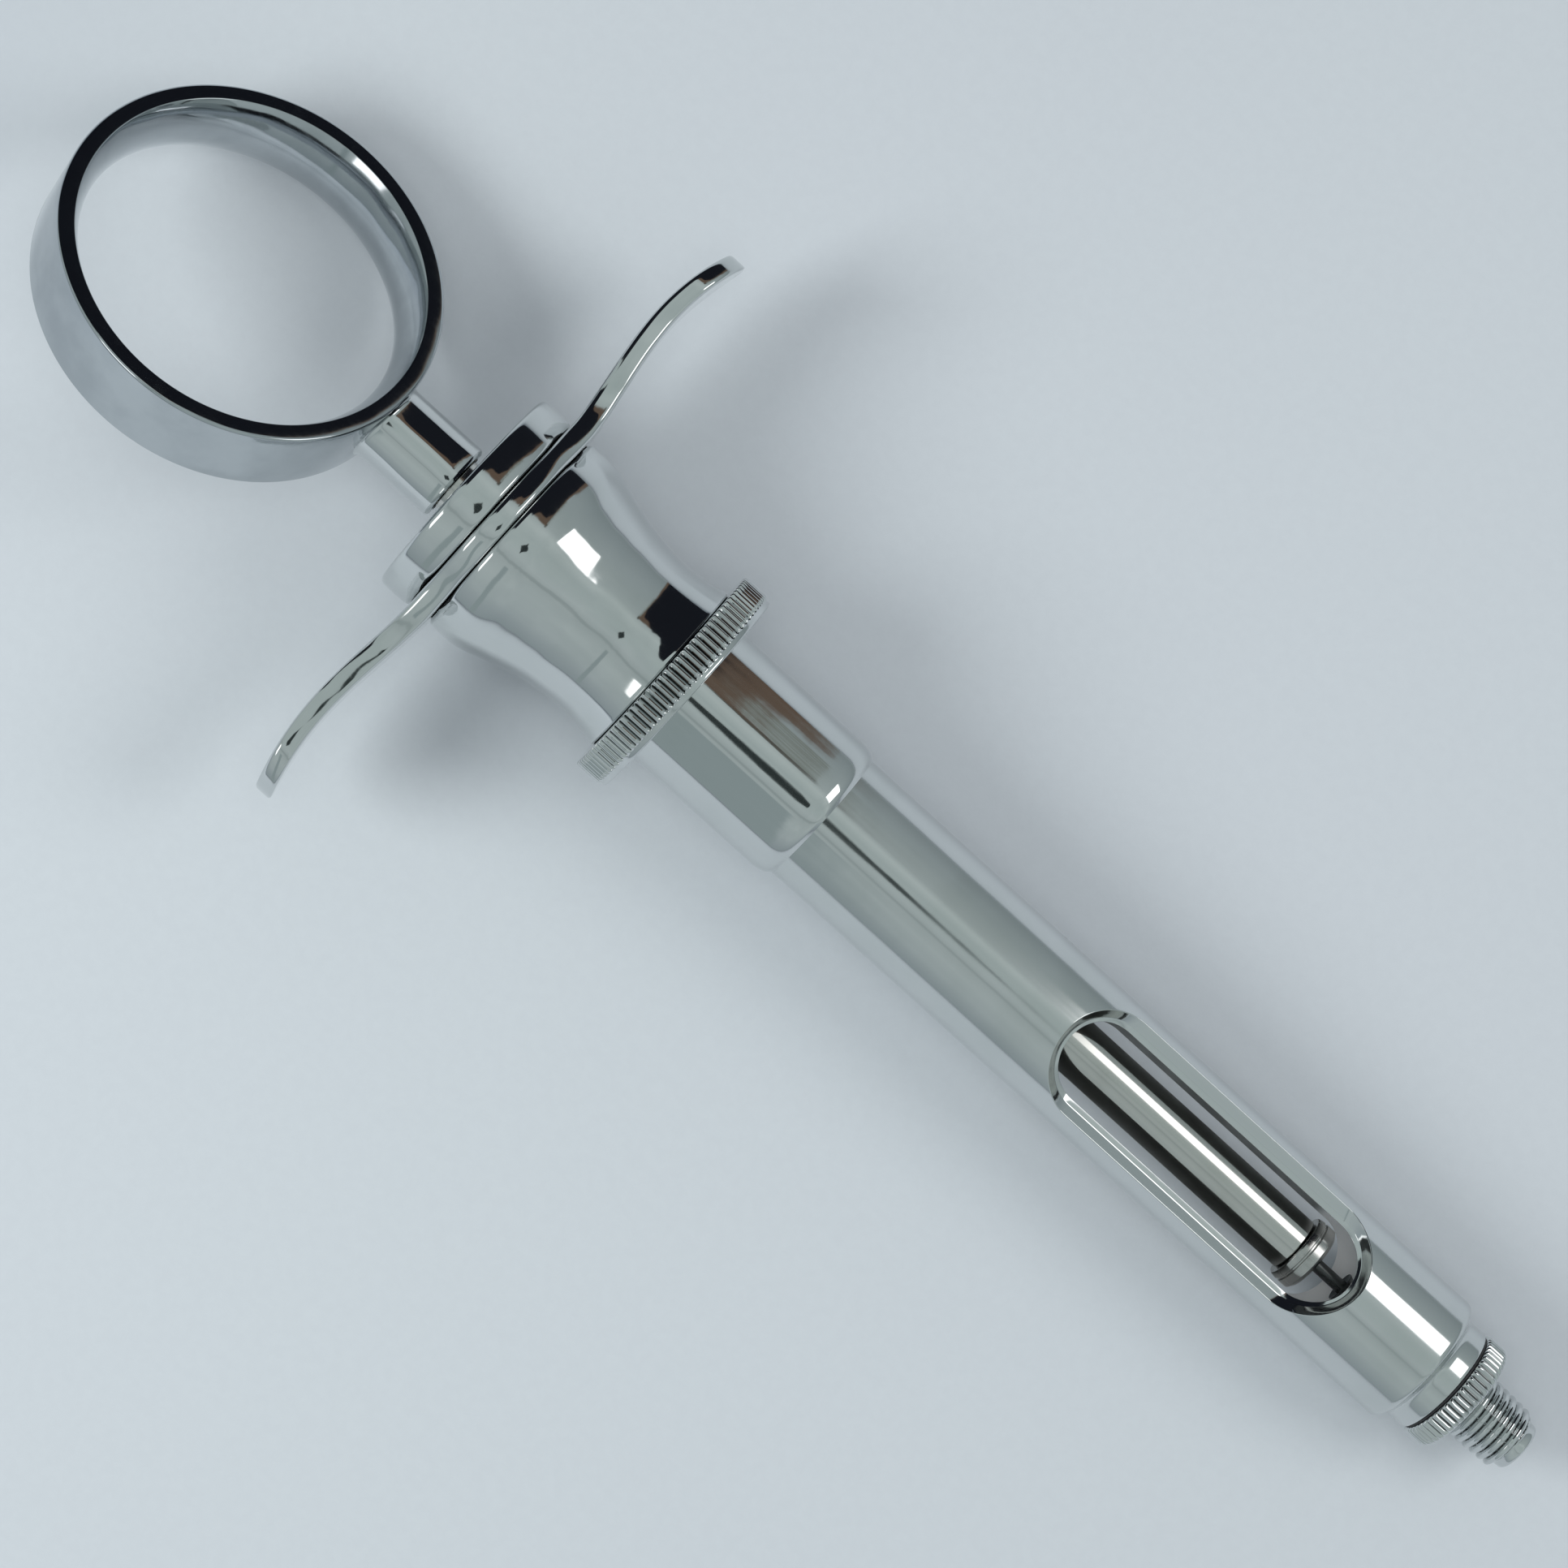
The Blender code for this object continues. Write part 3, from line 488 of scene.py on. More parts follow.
def make_clamp_nut(material, joint):
    """Round nut behind the finger plate, slightly crowned, with a thin end wall."""
    low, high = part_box("rear_cap")
    radius, hole, bore, wall = high.z, 2.9 * MM, 5.3 * MM, 0.65 * MM
    front, front_edge = high.x + SEAM, 0.4 * MM
    crown = 0.075 * MM
    middle = 0.5 * (low.x + front)
    corners = [(low.x, hole, 0.15 * MM), (low.x, radius - crown, 0.5 * MM)]
    for share in (-0.6, -0.4, -0.2, 0.0, 0.2, 0.4, 0.6):
        corners.append((middle + share * (front - middle), radius - crown * share ** 2, 0))
    corners += [(front, radius - crown, front_edge), (front, bore, 0), (low.x + wall, bore, 0),
                (low.x + wall, hole, 0)]
    nut = turned("clamp_nut", rounded(corners), [material, joint])
    # painted shade: the nut's flat front faces near the axis get the dark crevice material
    for face in nut.data.polygons:
        if face.normal.x > 0.98 and math.hypot(face.center.y, face.center.z) < radius - front_edge:
            face.material_index = 1
    return stand_for(nut, "rear_cap")


def arm_half_width(y, tip, hub):
    """Half of the finger plate's width at the distance y from the axis: hub, fillet, arm and round tip."""
    root, end, fillet, corner = 4.8 * MM, 4.4 * MM, 14.0 * MM, 4.3 * MM
    fillet_height = root + fillet
    fillet_y = math.sqrt((hub + fillet) ** 2 - fillet_height ** 2)
    if y <= fillet_y * hub / (hub + fillet):
        return math.sqrt(hub ** 2 - y ** 2)
    if y <= fillet_y:
        return fillet_height - math.sqrt(fillet ** 2 - (fillet_y - y) ** 2)
    width = root + (end - root) * (y - fillet_y) / (tip - fillet_y)
    into_corner = max(0.0, y - (tip - corner))
    return width - corner + math.sqrt(max(0.0, corner ** 2 - into_corner ** 2))


def plate_section(middle, half_depth, half_width, y, edge):
    """Loop of a rectangle with rounded edges, in the plane at y."""
    loop = []
    for side_x, side_z, start in ((1, 1, 0), (-1, 1, 90), (-1, -1, 180), (1, -1, 270)):
        for k in range(7):
            angle = math.radians(start + 15 * k)
            loop.append((middle + side_x * (half_depth - edge) + edge * math.cos(angle), y,
                         side_z * (half_width - edge) + edge * math.sin(angle)))
    return loop


def make_finger_plate(material, joint):
    """Plate with two gently bent wings and rounded edges."""
    low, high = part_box("finger_grip")
    tip, hub = high.y, high.z
    depth, tip_depth = 1.65 * MM, 1.3 * MM
    bends = {-1: (0.95 * MM, 0.4 * MM), 1: (1.3 * MM, 0.0)}    # sweep and tip curl of each wing
    middle = high.x - depth / 2
    tip_edge = 0.3 * MM
    out = np.concatenate([np.linspace(0, hub, 26), np.linspace(hub, tip - 1.0 * MM, 46)[1:],
                          np.linspace(tip - 1.0 * MM, tip - tip_edge, 9)[1:]])
    rows = [(float(y), 0.0) for y in out]
    rows += [(tip - tip_edge + tip_edge * math.sin(a), tip_edge * (1 - math.cos(a)))
             for a in np.radians((18, 36, 54, 72, 86))]
    sections = []
    for sign, stations in ((-1, reversed(rows[1:])), (1, rows)):
        for y, inset in stations:
            along = max(0.0, (y - hub) / (tip - hub))
            sweep, curl = bends[sign]
            bend = curl * along ** 2 - sweep * math.sin(math.pi * along ** 1.35)
            half_depth = (depth + (tip_depth - depth) * along) / 2 + SEAM
            half_width = arm_half_width(min(y, tip - 0.01 * MM), tip, hub)
            edge = min((0.5 - 0.1 * along) * MM, 0.9 * (half_width - inset))
            sections.append(plate_section(middle + bend, half_depth - inset, half_width - inset, sign * y,
                                          max(edge - inset, 0.03 * MM)))
    verts = [p for section in sections for p in section]
    size = len(sections[0])
    loops = [list(range(i * size, (i + 1) * size)) for i in range(len(sections))]
    faces = [loops[0][::-1], loops[-1]]
    for loop_a, loop_b in zip(loops, loops[1:]):
        faces += skin(loop_a, loop_b)
    plate = add_mesh("finger_plate", verts, faces, [material, joint])
    # painted shade: the hub's flat faces get the dark crevice material
    for face in plate.data.polygons:
        if abs(face.normal.x) > 0.98 and abs(face.center.y) < hub - 1.0 * MM:
            face.material_index = 1
    for name, radius, z in (("hub_bore", 5.3 * MM, 0.0), ("pin_bore", 0.75 * MM, 7.8 * MM)):
        rows = [(middle - 3 * MM, 0), (middle - 3 * MM, radius), (middle + 3 * MM, radius), (middle + 3 * MM, 0)]
        cutter = turned(name, rows, [material], closed=False)
        cutter.location.z = z
        bpy.context.view_layer.update()
        carve(plate, cutter)
    plate.data.set_sharp_from_angle(angle=SHARP)
    return stand_for(plate, "finger_grip")


# ---------------------------------------------------------------- knurls and threads

def knurl(angles, teeth, depth):
    """How far the surface lies below the crests of rounded teeth, at each angle."""
    return depth * (1 - np.abs(np.sin(teeth * angles / 2)))


def thread(x, angles, lead, starts, depth):
    """How far a right-handed thread's surface lies below its crests at station x, at each angle."""
    phase = (starts * (x / lead - angles / math.tau)) % 1.0
    return depth * (np.abs(phase - 0.5) * 2) ** 2.4


def make_knurled_collar(material):
    """Ring of rounded teeth between a rounded rear edge and a plain front rim."""
    low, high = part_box("knurled_ring")
    radius, bore, teeth, depth = high.z, 6.75 * MM, 92, 0.36 * MM
    angles = math.tau * np.arange(teeth * 8) / (teeth * 8)
    cut = knurl(angles, teeth, depth)
    rear, front = low.x - 0.1 * MM, high.x
    rows = [(rear, bore), (rear, 7.6 * MM), (rear, 8.7 * MM), (rear, radius - 0.42 * MM)]
    for share in (0.12, 0.35, 0.6, 0.85, 1.0):
        angle = share * math.pi / 2
        rows.append((rear + 0.16 * MM * (1 - math.cos(angle)),
                     radius - 0.24 * MM + 0.24 * MM * math.sin(angle) - cut * share))
    rim = front - 0.72 * MM
    rows += [(rear + share * (rim - rear), radius - cut) for share in (0.3, 0.5, 0.7, 0.9)]
    rows += [(rim, radius - cut), (rim + 0.06 * MM, radius - 0.9 * cut - 0.03 * MM),
             (rim + 0.12 * MM, radius - 0.55 * cut - 0.08 * MM),
             (rim + 0.18 * MM, radius - 0.2 * cut - 0.14 * MM), (rim + 0.24 * MM, radius - 0.19 * MM),
             (rim + 0.3 * MM, radius - 0.2 * MM), (front - 0.3 * MM, radius - 0.2 * MM)]
    for angle in np.radians((20, 40, 60, 80, 90)):
        rows.append((front - 0.22 * MM + 0.22 * MM * math.sin(angle),
                     radius - 0.42 * MM + 0.22 * MM * math.cos(angle)))
    rows += [(front, radius - 0.9 * MM), (front, 8.0 * MM), (front, bore + 0.1 * MM), (front - 0.1 * MM, bore)]
    piece = turned("knurled_collar", rows, [material], angles=angles)
    return stand_for(piece, "knurled_ring")


def make_barrel_sleeve(material, bore_material):
    """Sleeve behind the barrel, with the female thread inside and a soft shoulder down to the tube."""
    low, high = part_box("barrel_socket")
    radius, tube, bore, drop = high.z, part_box("barrel_tube")[1].z, 5.45 * MM, 1.7 * MM
    outside = [(low.x + 0.25 * MM, radius), (low.x + 1.2 * MM, radius), (high.x - drop - 1.0 * MM, radius)]
    for angle in np.radians(np.linspace(90, 22, 12)):
        outside.append((high.x - drop + (drop - 0.12 * MM) * math.cos(angle),
                        tube + 0.02 * MM + (radius - tube - 0.02 * MM) * math.sin(angle)))
    outside.append((high.x + 0.02 * MM, tube + 0.015 * MM))
    angles = math.tau * np.arange(128) / 128
    rows = [(low.x, bore + 0.2 * MM), (low.x, radius - 0.25 * MM)]
    rows += [(x, r) for x, r in outside] + [(high.x + 0.03 * MM, tube - 0.3 * MM), (high.x, bore)]
    lead, end = 1.5 * MM, high.x - 5.3 * MM
    for x in np.arange(end, low.x + 0.4 * MM, -lead / 24):
        rows.append((x, bore + thread(x, angles, lead, 2, 0.26 * MM)))
    verts, loops = turned_rows(rows, angles)
    faces = []
    for loop_a, loop_b in zip(loops, loops[1:] + loops[:1]):
        faces += skin(loop_a, loop_b)
    piece = add_mesh("barrel_sleeve", verts, faces, [material, bore_material])
    paint_inside(piece, bore + 0.6 * MM, 1)
    return stand_for(piece, "barrel_socket")


def paint_inside(piece, radius, slot):
    """Gives every face nearer the axis than radius another material slot."""
    for face in piece.data.polygons:
        if math.hypot(face.center.y, face.center.z) < radius:
            face.material_index = slot


def make_spigot(material):
    """Sleeve with a two-start external thread that the barrel screws on to."""
    low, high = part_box("threaded_spigot")
    tail, crest, bore, step_x = high.z, 5.3 * MM, 4.6 * MM, -16.455 * MM
    angles = math.tau * np.arange(128) / 128
    rows = [(low.x, bore), (low.x, tail - 0.15 * MM), (low.x + 0.15 * MM, tail), (step_x - 0.15 * MM, tail),
            (step_x, tail - 0.15 * MM), (step_x, crest - 0.3 * MM), (step_x + 0.9 * MM, crest - 0.3 * MM)]
    lead = 1.5 * MM
    start, end = step_x + 1.0 * MM, high.x - 0.35 * MM
    for x in np.arange(start, end, lead / 28):
        fade = min(1.0, (x - start) / (0.5 * MM), (end - x) / (0.3 * MM))
        cut = thread(x, angles, lead, 2, 0.34 * MM)
        rows.append((x, crest - cut * fade - (1 - fade) * 0.3 * MM))
    rows += [(high.x, crest - 0.45 * MM), (high.x, bore)]
    return stand_for(turned("spigot_thread", rows, [material], angles=angles), "threaded_spigot")


def make_needle_stub(material):
    """Knurled flange, tail and helical needle thread, in one piece with a needle bore."""
    low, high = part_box("needle_adaptor")
    teeth, depth, radius = 50, 0.3 * MM, high.z
    angles = math.tau * np.arange(teeth * 6) / (teeth * 6)
    cut = knurl(angles, teeth, depth)
    rear, front = 69.765 * MM - 0.8 * SEAM, 71.765 * MM
    tail, bore, lead = 2.3 * MM, 0.45 * MM, 0.75 * MM
    rows = [(low.x, bore), (low.x, tail - 0.15 * MM), (low.x + 0.15 * MM, tail), (rear, tail), (rear, 3.4 * MM),
            (rear, radius - 0.45 * MM)]
    for share in (0.25, 0.5, 0.75, 1.0):
        angle = share * math.pi / 2
        rows.append((rear + 0.3 * MM * (1 - math.cos(angle)),
                     radius - 0.4 * MM + 0.4 * MM * math.sin(angle) - cut * share))
    rows += [(rear + share * (front - rear), radius - cut) for share in (0.3, 0.5, 0.7)]
    for share in (0.0, 0.25, 0.5, 0.75, 1.0):
        angle = share * math.pi / 2
        rows.append((front - 0.45 * MM * (1 - math.sin(angle)),
                     radius - 0.5 * MM + 0.5 * MM * math.cos(angle) - cut * (1 - share)))
    rows += [(front, radius - 0.8 * MM), (front, 3.6 * MM), (front, 3.05 * MM), (front + 0.08 * MM, 2.98 * MM)]
    start, end = front + 0.1 * MM, front + 5.1 * MM
    for x in np.arange(start, end, lead / 16):
        along = (x - start) / (end - start)
        crest = (3.0 - 0.22 * along) * MM
        fade = min(1.0, (x - start) / (0.2 * MM), (end - x) / (0.3 * MM))
        rows.append((x, crest - thread(x, angles, lead, 1, 0.42 * MM) * fade - (1 - fade) * 0.25 * MM
                     - max(0.0, along - 0.93) * 3.5 * MM))
    nose = high.x
    rows += [(end + 0.05 * MM, 2.26 * MM), (nose - 0.45 * MM, 2.2 * MM)]
    for angle in np.radians((15, 35, 55, 75, 90)):
        rows.append((nose - 0.4 * MM + 0.4 * MM * math.sin(angle), 1.8 * MM + 0.4 * MM * math.cos(angle)))
    rows += [(nose, 1.2 * MM), (nose, bore + 0.25 * MM), (nose - 0.2 * MM, bore)]
    return stand_for(turned("needle_stub", rows, [material], angles=angles), "needle_adaptor")


# ---------------------------------------------------------------- plunger

def make_rod(material):
    low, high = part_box("plunger_rod")
    radius = high.z
    corners = [(low.x, 0, 0), (low.x, radius, 0.2 * MM), (high.x + 0.1 * MM, radius, 0.12 * MM),
               (high.x + 0.1 * MM, 0, 0)]
    outline = rounded(corners)
    outline[-1] = (outline[-1][0], 0.0)
    return stand_for(turned("rod", outline, [material], closed=False), "plunger_rod")


def make_rod_head(material):
    """Disc that pushes the stopper: a flat rim, an undercut behind it and a chamfered front edge."""
    low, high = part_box("plunger_head")
    radius, hole = high.z, 0.6 * MM
    groove = low.x + 0.62 * MM
    corners = [(low.x - 0.12 * MM, hole, 0), (low.x - 0.12 * MM, radius - 0.1 * MM, 0.14 * MM),
               (groove - 0.14 * MM, radius, 0.08 * MM), (groove - 0.06 * MM, radius - 0.14 * MM, 0),
               (groove + 0.06 * MM, radius - 0.14 * MM, 0), (groove + 0.14 * MM, radius, 0.06 * MM),
               (high.x - 0.32 * MM, radius, 0.12 * MM), (high.x, radius - 0.4 * MM, 0.1 * MM), (high.x, hole, 0)]
    return stand_for(turned("rod_head", rounded(corners, 4), [material]), "plunger_head")


def make_harpoon(material):
    """Shank with a pointed barb that hooks backwards."""
    low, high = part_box("harpoon")
    barb, shank, radius = high.x - 2.4 * MM, 0.575 * MM, high.z
    rows = [(low.x, 0), (low.x, shank), (barb - 0.2 * MM, shank), (barb + 0.32 * MM, shank + 0.06 * MM),
            (barb + 0.02 * MM, radius - 0.06 * MM), (barb, radius - 0.01 * MM), (barb + 0.08 * MM, radius)]
    for t in np.linspace(0.08, 0.96, 14):
        rows.append((barb + 0.08 * MM + t * (high.x - barb - 0.08 * MM), radius * (1 - t) ** 0.86))
    rows.append((high.x, 0))
    return stand_for(turned("barb", rows, [material], closed=False), "harpoon")


RING_ROLL = math.radians(-33.3)
RING_SHIFT = 0.35 * MM    # the ring is brazed on a little off the axis


def make_stem(material):
    """Ferrule between rod and ring. Its rear end follows the ring's outside in a small brazed fillet."""
    low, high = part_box("ring_stem")
    ring_low, ring_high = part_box("thumb_ring")
    radius, bore = high.z, 2.7 * MM
    centre, ring_radius = 0.5 * (ring_low.x + ring_high.x), 0.5 * (ring_high.x - ring_low.x)
    angles = math.tau * np.arange(STEPS) / STEPS

    def seat(r):
        """Station of the ring's outside at the radius r, round the turn."""
        across = ((r * np.cos(angles) - RING_SHIFT) * math.cos(RING_ROLL)
                  + r * np.sin(angles) * math.sin(RING_ROLL))
        return centre + np.sqrt(ring_radius ** 2 - across ** 2)

    rows = [(low.x + 1.5 * MM, 0), (low.x + 1.5 * MM, bore), (high.x - 0.02 * MM, bore)]
    for angle in np.radians((0, 15, 30, 45, 60, 75, 90)):
        rows.append((high.x - 0.4 * MM * (1 - math.cos(angle)), radius - 0.5 * MM + 0.5 * MM * math.sin(angle)))
    root = low.x + 0.75 * MM
    rows += [(high.x - 1.2 * MM, radius), (0.5 * (root + high.x), radius), (root + 0.9 * MM, radius)]
    flare = 0.24 * MM
    for angle in np.radians((0, 18, 36, 54, 72, 90)):
        r = radius + flare * (1 - math.cos(angle))
        share = math.sin(angle)
        rows.append(((1 - share) * (seat(radius) + flare * 1.5) + share * seat(radius + flare), r))
    rows += [(seat(radius + flare) - 0.08 * MM, radius + flare), (seat(1.6 * MM) - 0.1 * MM, 1.6 * MM), (low.x - 0.35 * MM, 0)]
    return stand_for(turned("stem", rows, [material], closed=False, angles=angles), "ring_stem")


def make_ring(material):
    """Wide thumb ring: flat outside, flat rims and an inside crowned towards the thumb."""
    low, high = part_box("thumb_ring")
    radius, centre = 0.5 * (high.x - low.x), 0.5 * (low.x + high.x)
    half, rim, crown = 3.55 * MM, 1.4 * MM, 1.1 * MM
    corners = [(-half, radius, 0.28 * MM), (-half + 1.6 * MM, radius, 0), (0, radius, 0), (half - 1.6 * MM, radius, 0),
               (half, radius, 0.28 * MM), (half, radius - rim, 0.1 * MM)]
    for across in np.linspace(0.9, -0.9, 25):
        corners.append((float(across * half), radius - rim - crown * (1 - across ** 2), 0))
    corners.append((-half, radius - rim, 0.1 * MM))
    angles = math.tau * np.arange(288) / 288
    ring = turned("ring", rounded(corners, 5), [material], angles=angles)
    ring.data.transform(Matrix.Translation((centre, RING_SHIFT, 0)) @ Matrix.Rotation(RING_ROLL, 4, "X")
                        @ Matrix.Rotation(math.radians(-90), 4, "Y"))
    return stand_for(ring, "thumb_ring")


# ---------------------------------------------------------------- barrel tube

WINDOW_X = 42.575 * MM
WINDOW_OUTER = (15.8 * MM, 4.9 * MM)
WINDOW_INNER = (15.0 * MM, 3.5 * MM)
PATCH_REACH = 20.4 * MM       # half length of the tube stretch that holds the windows
END_PARTS, SIDE_PARTS, STRAIGHT_PARTS = 48, 14, 36


def window_loops(radius, size, grow, path):
    """Points on the surface of the given radius along a window outline grown by grow."""
    straight = WINDOW_OUTER[0] - WINDOW_OUTER[1]
    stretch = (size[0] - size[1]) / straight
    points = []
    for end, turn, _, _ in path:
        x, y = end * stretch + size[1] * math.cos(turn), size[1] * math.sin(turn)
        y = max(-0.999 * radius, min(0.999 * radius, y))
        flat = math.sqrt(1 - (y / radius) ** 2)
        x, y = x + grow * math.cos(turn), y + grow * math.sin(turn) * flat
        points.append((x, y, math.sqrt(max(radius ** 2 - y ** 2, 0))))
    return np.array(points)


def make_tube(material, bore_material):
    """Barrel tube with two opposite windows whose lips are bevelled and rounded."""
    low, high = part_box("barrel_tube")
    radius, bore, neck = high.z, 4.6 * MM, 5.0 * MM
    path = window_points(radius)
    count = len(path)
    front_end = high.x + 0.8 * SEAM
    lip, ledge_bend, inner_lip, rings = 0.07 * MM, 0.06 * MM, 0.06 * MM, 14
    outer_angle = np.array([p[3] for p in path])
    edge_x = np.array([p[2] for p in path])

    def surface(r, xs, turns):
        return np.stack([xs, r * np.sin(turns), r * np.cos(turns)], 1)

    def spread(r, inner, weights):
        """Rings on the surface of radius r from the patch's edge in to the given outline."""
        inner_turn = np.arctan2(inner[:, 1], inner[:, 2])
        return [surface(r, edge_x + (inner[:, 0] - edge_x) * w, outer_angle + (inner_turn - outer_angle) * w)
                for w in weights]

    outer_start = window_loops(radius, WINDOW_OUTER, lip, path)
    outer_edge = window_loops(radius, WINDOW_OUTER, 0, path)
    inner_edge = window_loops(bore, WINDOW_INNER, 0, path)
    inner_start = window_loops(bore, WINDOW_INNER, inner_lip, path)
    ledge = outer_edge + (inner_edge - outer_edge) * 0.62
    ledge[:, 2] = inner_edge[:, 2] + (outer_edge[:, 2] - inner_edge[:, 2]) * 0.1
    wall, floor = ledge - outer_edge, inner_edge - ledge
    wall /= np.linalg.norm(wall, axis=1)[:, None]
    floor /= np.linalg.norm(floor, axis=1)[:, None]
    weights = np.linspace(0, 1, rings) ** 0.85
    band_rows = spread(radius, outer_start, weights)
    outer_end, inner_end = outer_edge + wall * lip, inner_edge - floor * inner_lip
    bend_start, bend_end = ledge - wall * ledge_bend, ledge + floor * ledge_bend
    for t in np.linspace(0.12, 1, 8):
        band_rows.append((1 - t) ** 2 * outer_start + 2 * t * (1 - t) * outer_edge + t * t * outer_end)
    band_rows.append(0.5 * (outer_end + bend_start))
    for t in np.linspace(0, 1, 7):
        band_rows.append((1 - t) ** 2 * bend_start + 2 * t * (1 - t) * ledge + t * t * bend_end)
    for t in np.linspace(0, 1, 5):
        band_rows.append((1 - t) ** 2 * inner_end + 2 * t * (1 - t) * inner_edge + t * t * inner_start)
    band_rows += spread(bore, inner_start, weights[::-1])[1:]

    verts, faces = [], []
    for up in (1, -1):
        loops = []
        for row in band_rows:
            start = len(verts)
            verts += [(WINDOW_X + p[0], up * p[1], up * p[2]) for p in row]
            loops.append(list(range(start, start + count)))
        for loop_a, loop_b in zip(loops, loops[1:]):
            faces += skin(loop_a, loop_b)

    half = [i for i in range(count) if abs(edge_x[i] - PATCH_REACH) < 1e-9]
    turns = sorted(outer_angle[i] for i in half)
    turns = np.array(turns[:-1] + [t + math.pi for t in turns[:-1]])
    angles = math.pi / 2 - turns
    tail, tail_front = 5.3 * MM, 1.2 * MM
    rear_rows = [(WINDOW_X - PATCH_REACH, bore), (low.x + 0.2 * MM, bore), (low.x, bore + 0.2 * MM), (low.x, tail - 0.2 * MM),
                 (low.x + 0.2 * MM, tail), (tail_front - 0.02 * MM, tail), (tail_front, tail + 0.05 * MM),
                 (tail_front, radius - 0.02 * MM), (tail_front + 0.02 * MM, radius), (2.0 * MM, radius),
                 (4.0 * MM, radius), (WINDOW_X - PATCH_REACH, radius)]
    shoulder = 66.575 * MM
    front_rows = [(WINDOW_X + PATCH_REACH, radius), (shoulder - 0.6 * MM, radius), (shoulder - 0.3 * MM, radius)]
    front_rows += bezier((shoulder - 0.1 * MM, radius), (shoulder + 0.75 * MM, radius - 0.02 * MM),
                         (shoulder + 0.45 * MM, neck + 0.03 * MM), (shoulder + 1.35 * MM, neck), 14)
    front_rows += [(shoulder + 1.8 * MM, neck), (front_end - 0.3 * MM, neck)]
    front_rows += [(front_end - 0.16 * MM * (1 - math.sin(a)), neck - 0.16 * MM * (1 - math.cos(a)))
                   for a in np.radians((15, 40, 65, 90))]
    front_rows += [(front_end, neck - 0.5 * MM), (front_end, 2.9 * MM), (front_end - 0.15 * MM, 2.6 * MM), (65.5 * MM, 2.6 * MM),
                   (65.375 * MM, 2.75 * MM), (65.375 * MM, bore - 0.2 * MM), (65.2 * MM, bore),
                   (WINDOW_X + PATCH_REACH, bore)]
    for rows in (rear_rows, front_rows):
        more, loops = turned_rows(rows, angles)
        base = len(verts)
        verts += more
        loops = [[base + i for i in loop] for loop in loops]
        for loop_a, loop_b in zip(loops, loops[1:]):
            faces += skin(loop_a, loop_b)
    verts, faces = weld(verts, faces)
    tube = add_mesh("tube", verts, faces, [material, bore_material], sharp=None)
    face_outwards(tube.data)
    for face in tube.data.polygons:
        if math.hypot(face.center.y, face.center.z) < bore + 0.01 * MM and face.center.x < 66 * MM:
            face.material_index = 1
    mesh = tube.data
    normals = np.array([v.vector for v in mesh.vertex_normals], float)
    points = np.array(verts, float)
    reach = np.hypot(points[:, 1], points[:, 2])
    out = np.stack([np.zeros(len(points)), points[:, 1] / reach, points[:, 2] / reach], 1)
    on_outside = (abs(reach - radius) < 1e-8) & (points[:, 0] > tail_front + 0.01 * MM) & (points[:, 0] < shoulder)
    normals[on_outside] = out[on_outside]
    on_bore = (abs(reach - bore) < 1e-8) & (points[:, 0] > 0) & (points[:, 0] < 65 * MM)
    normals[on_bore] = -out[on_bore]
    mesh.normals_split_custom_set_from_vertices([tuple(n) for n in normals])
    return stand_for(tube, "barrel_tube")


def window_points(radius):
    """Matching points round a window, anticlockwise seen from above.

    Each is (end centre's x, turn of the outline there, x of the patch's edge, angle of the edge from the top)."""
    straight = WINDOW_OUTER[0] - WINDOW_OUTER[1]
    reach, edge = PATCH_REACH - straight, math.pi / 2 * radius
    front = []
    for i in range(SIDE_PARTS):
        front.append((reach * i / SIDE_PARTS, -edge))
    for i in range(END_PARTS):
        front.append((reach, edge * (2 * i / END_PARTS - 1)))
    for i in range(SIDE_PARTS):
        front.append((reach * (1 - i / SIDE_PARTS), edge))
    path = []
    for sign in (1, -1):
        for dx, s in front:
            turn = math.atan2(s, dx) + (0 if sign > 0 else math.pi)
            path.append((sign * straight, turn, sign * (straight + dx), sign * s / radius))
        for i in range(STRAIGHT_PARTS):
            x = sign * straight * (1 - 2 * i / STRAIGHT_PARTS)
            path.append((x, sign * math.pi / 2, x, sign * edge / radius))
    return path


def face_outwards(mesh):
    """Turns every face of a closed mesh outwards."""
    shell = bmesh.new()
    shell.from_mesh(mesh)
    bmesh.ops.recalc_face_normals(shell, faces=shell.faces)
    shell.to_mesh(mesh)
    shell.free()


def weld(verts, faces):
    """Joins vertices at the same place and drops faces that vanish."""
    keys, index, kept = {}, [], []
    for v in verts:
        key = tuple(round(c * 2e7) for c in v)
        if key not in keys:
            keys[key] = len(kept)
            kept.append(v)
        index.append(keys[key])
    merged = []
    for face in faces:
        new = list(dict.fromkeys(index[i] for i in face))
        if len(new) > 2:
            merged.append(new)
    return kept, merged


# ---------------------------------------------------------------- small and inside pieces

def make_ring_piece(name, node, corners, material):
    return stand_for(turned(name, rounded(corners, 5), [material]), node)


def make_spring(material):
    """Coil wound at an even pitch from end to end."""
    low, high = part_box("cartridge_spring")
    wire = 0.35 * MM
    coil, sides, per_turn, turns = high.z - wire, 14, 56, 3.5
    steps = round(turns * per_turn)
    loops, verts = [], []
    for i in range(steps + 1):
        share = i / steps
        x = low.x + wire + (high.x - low.x - 2 * wire) * share
        angle = math.tau * i / per_turn
        start = len(verts)
        for k in range(sides):
            around = math.tau * k / sides
            r = coil + wire * math.cos(around)
            verts.append((x + wire * math.sin(around), r * math.cos(angle), r * math.sin(angle)))
        loops.append(list(range(start, start + sides)))
    faces = [loops[0][::-1], loops[-1]]
    for loop_a, loop_b in zip(loops, loops[1:]):
        faces += skin(loop_a, loop_b)
    spring = stand_for(add_mesh("spring", verts, faces, [material]), "cartridge_spring")
    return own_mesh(spring)


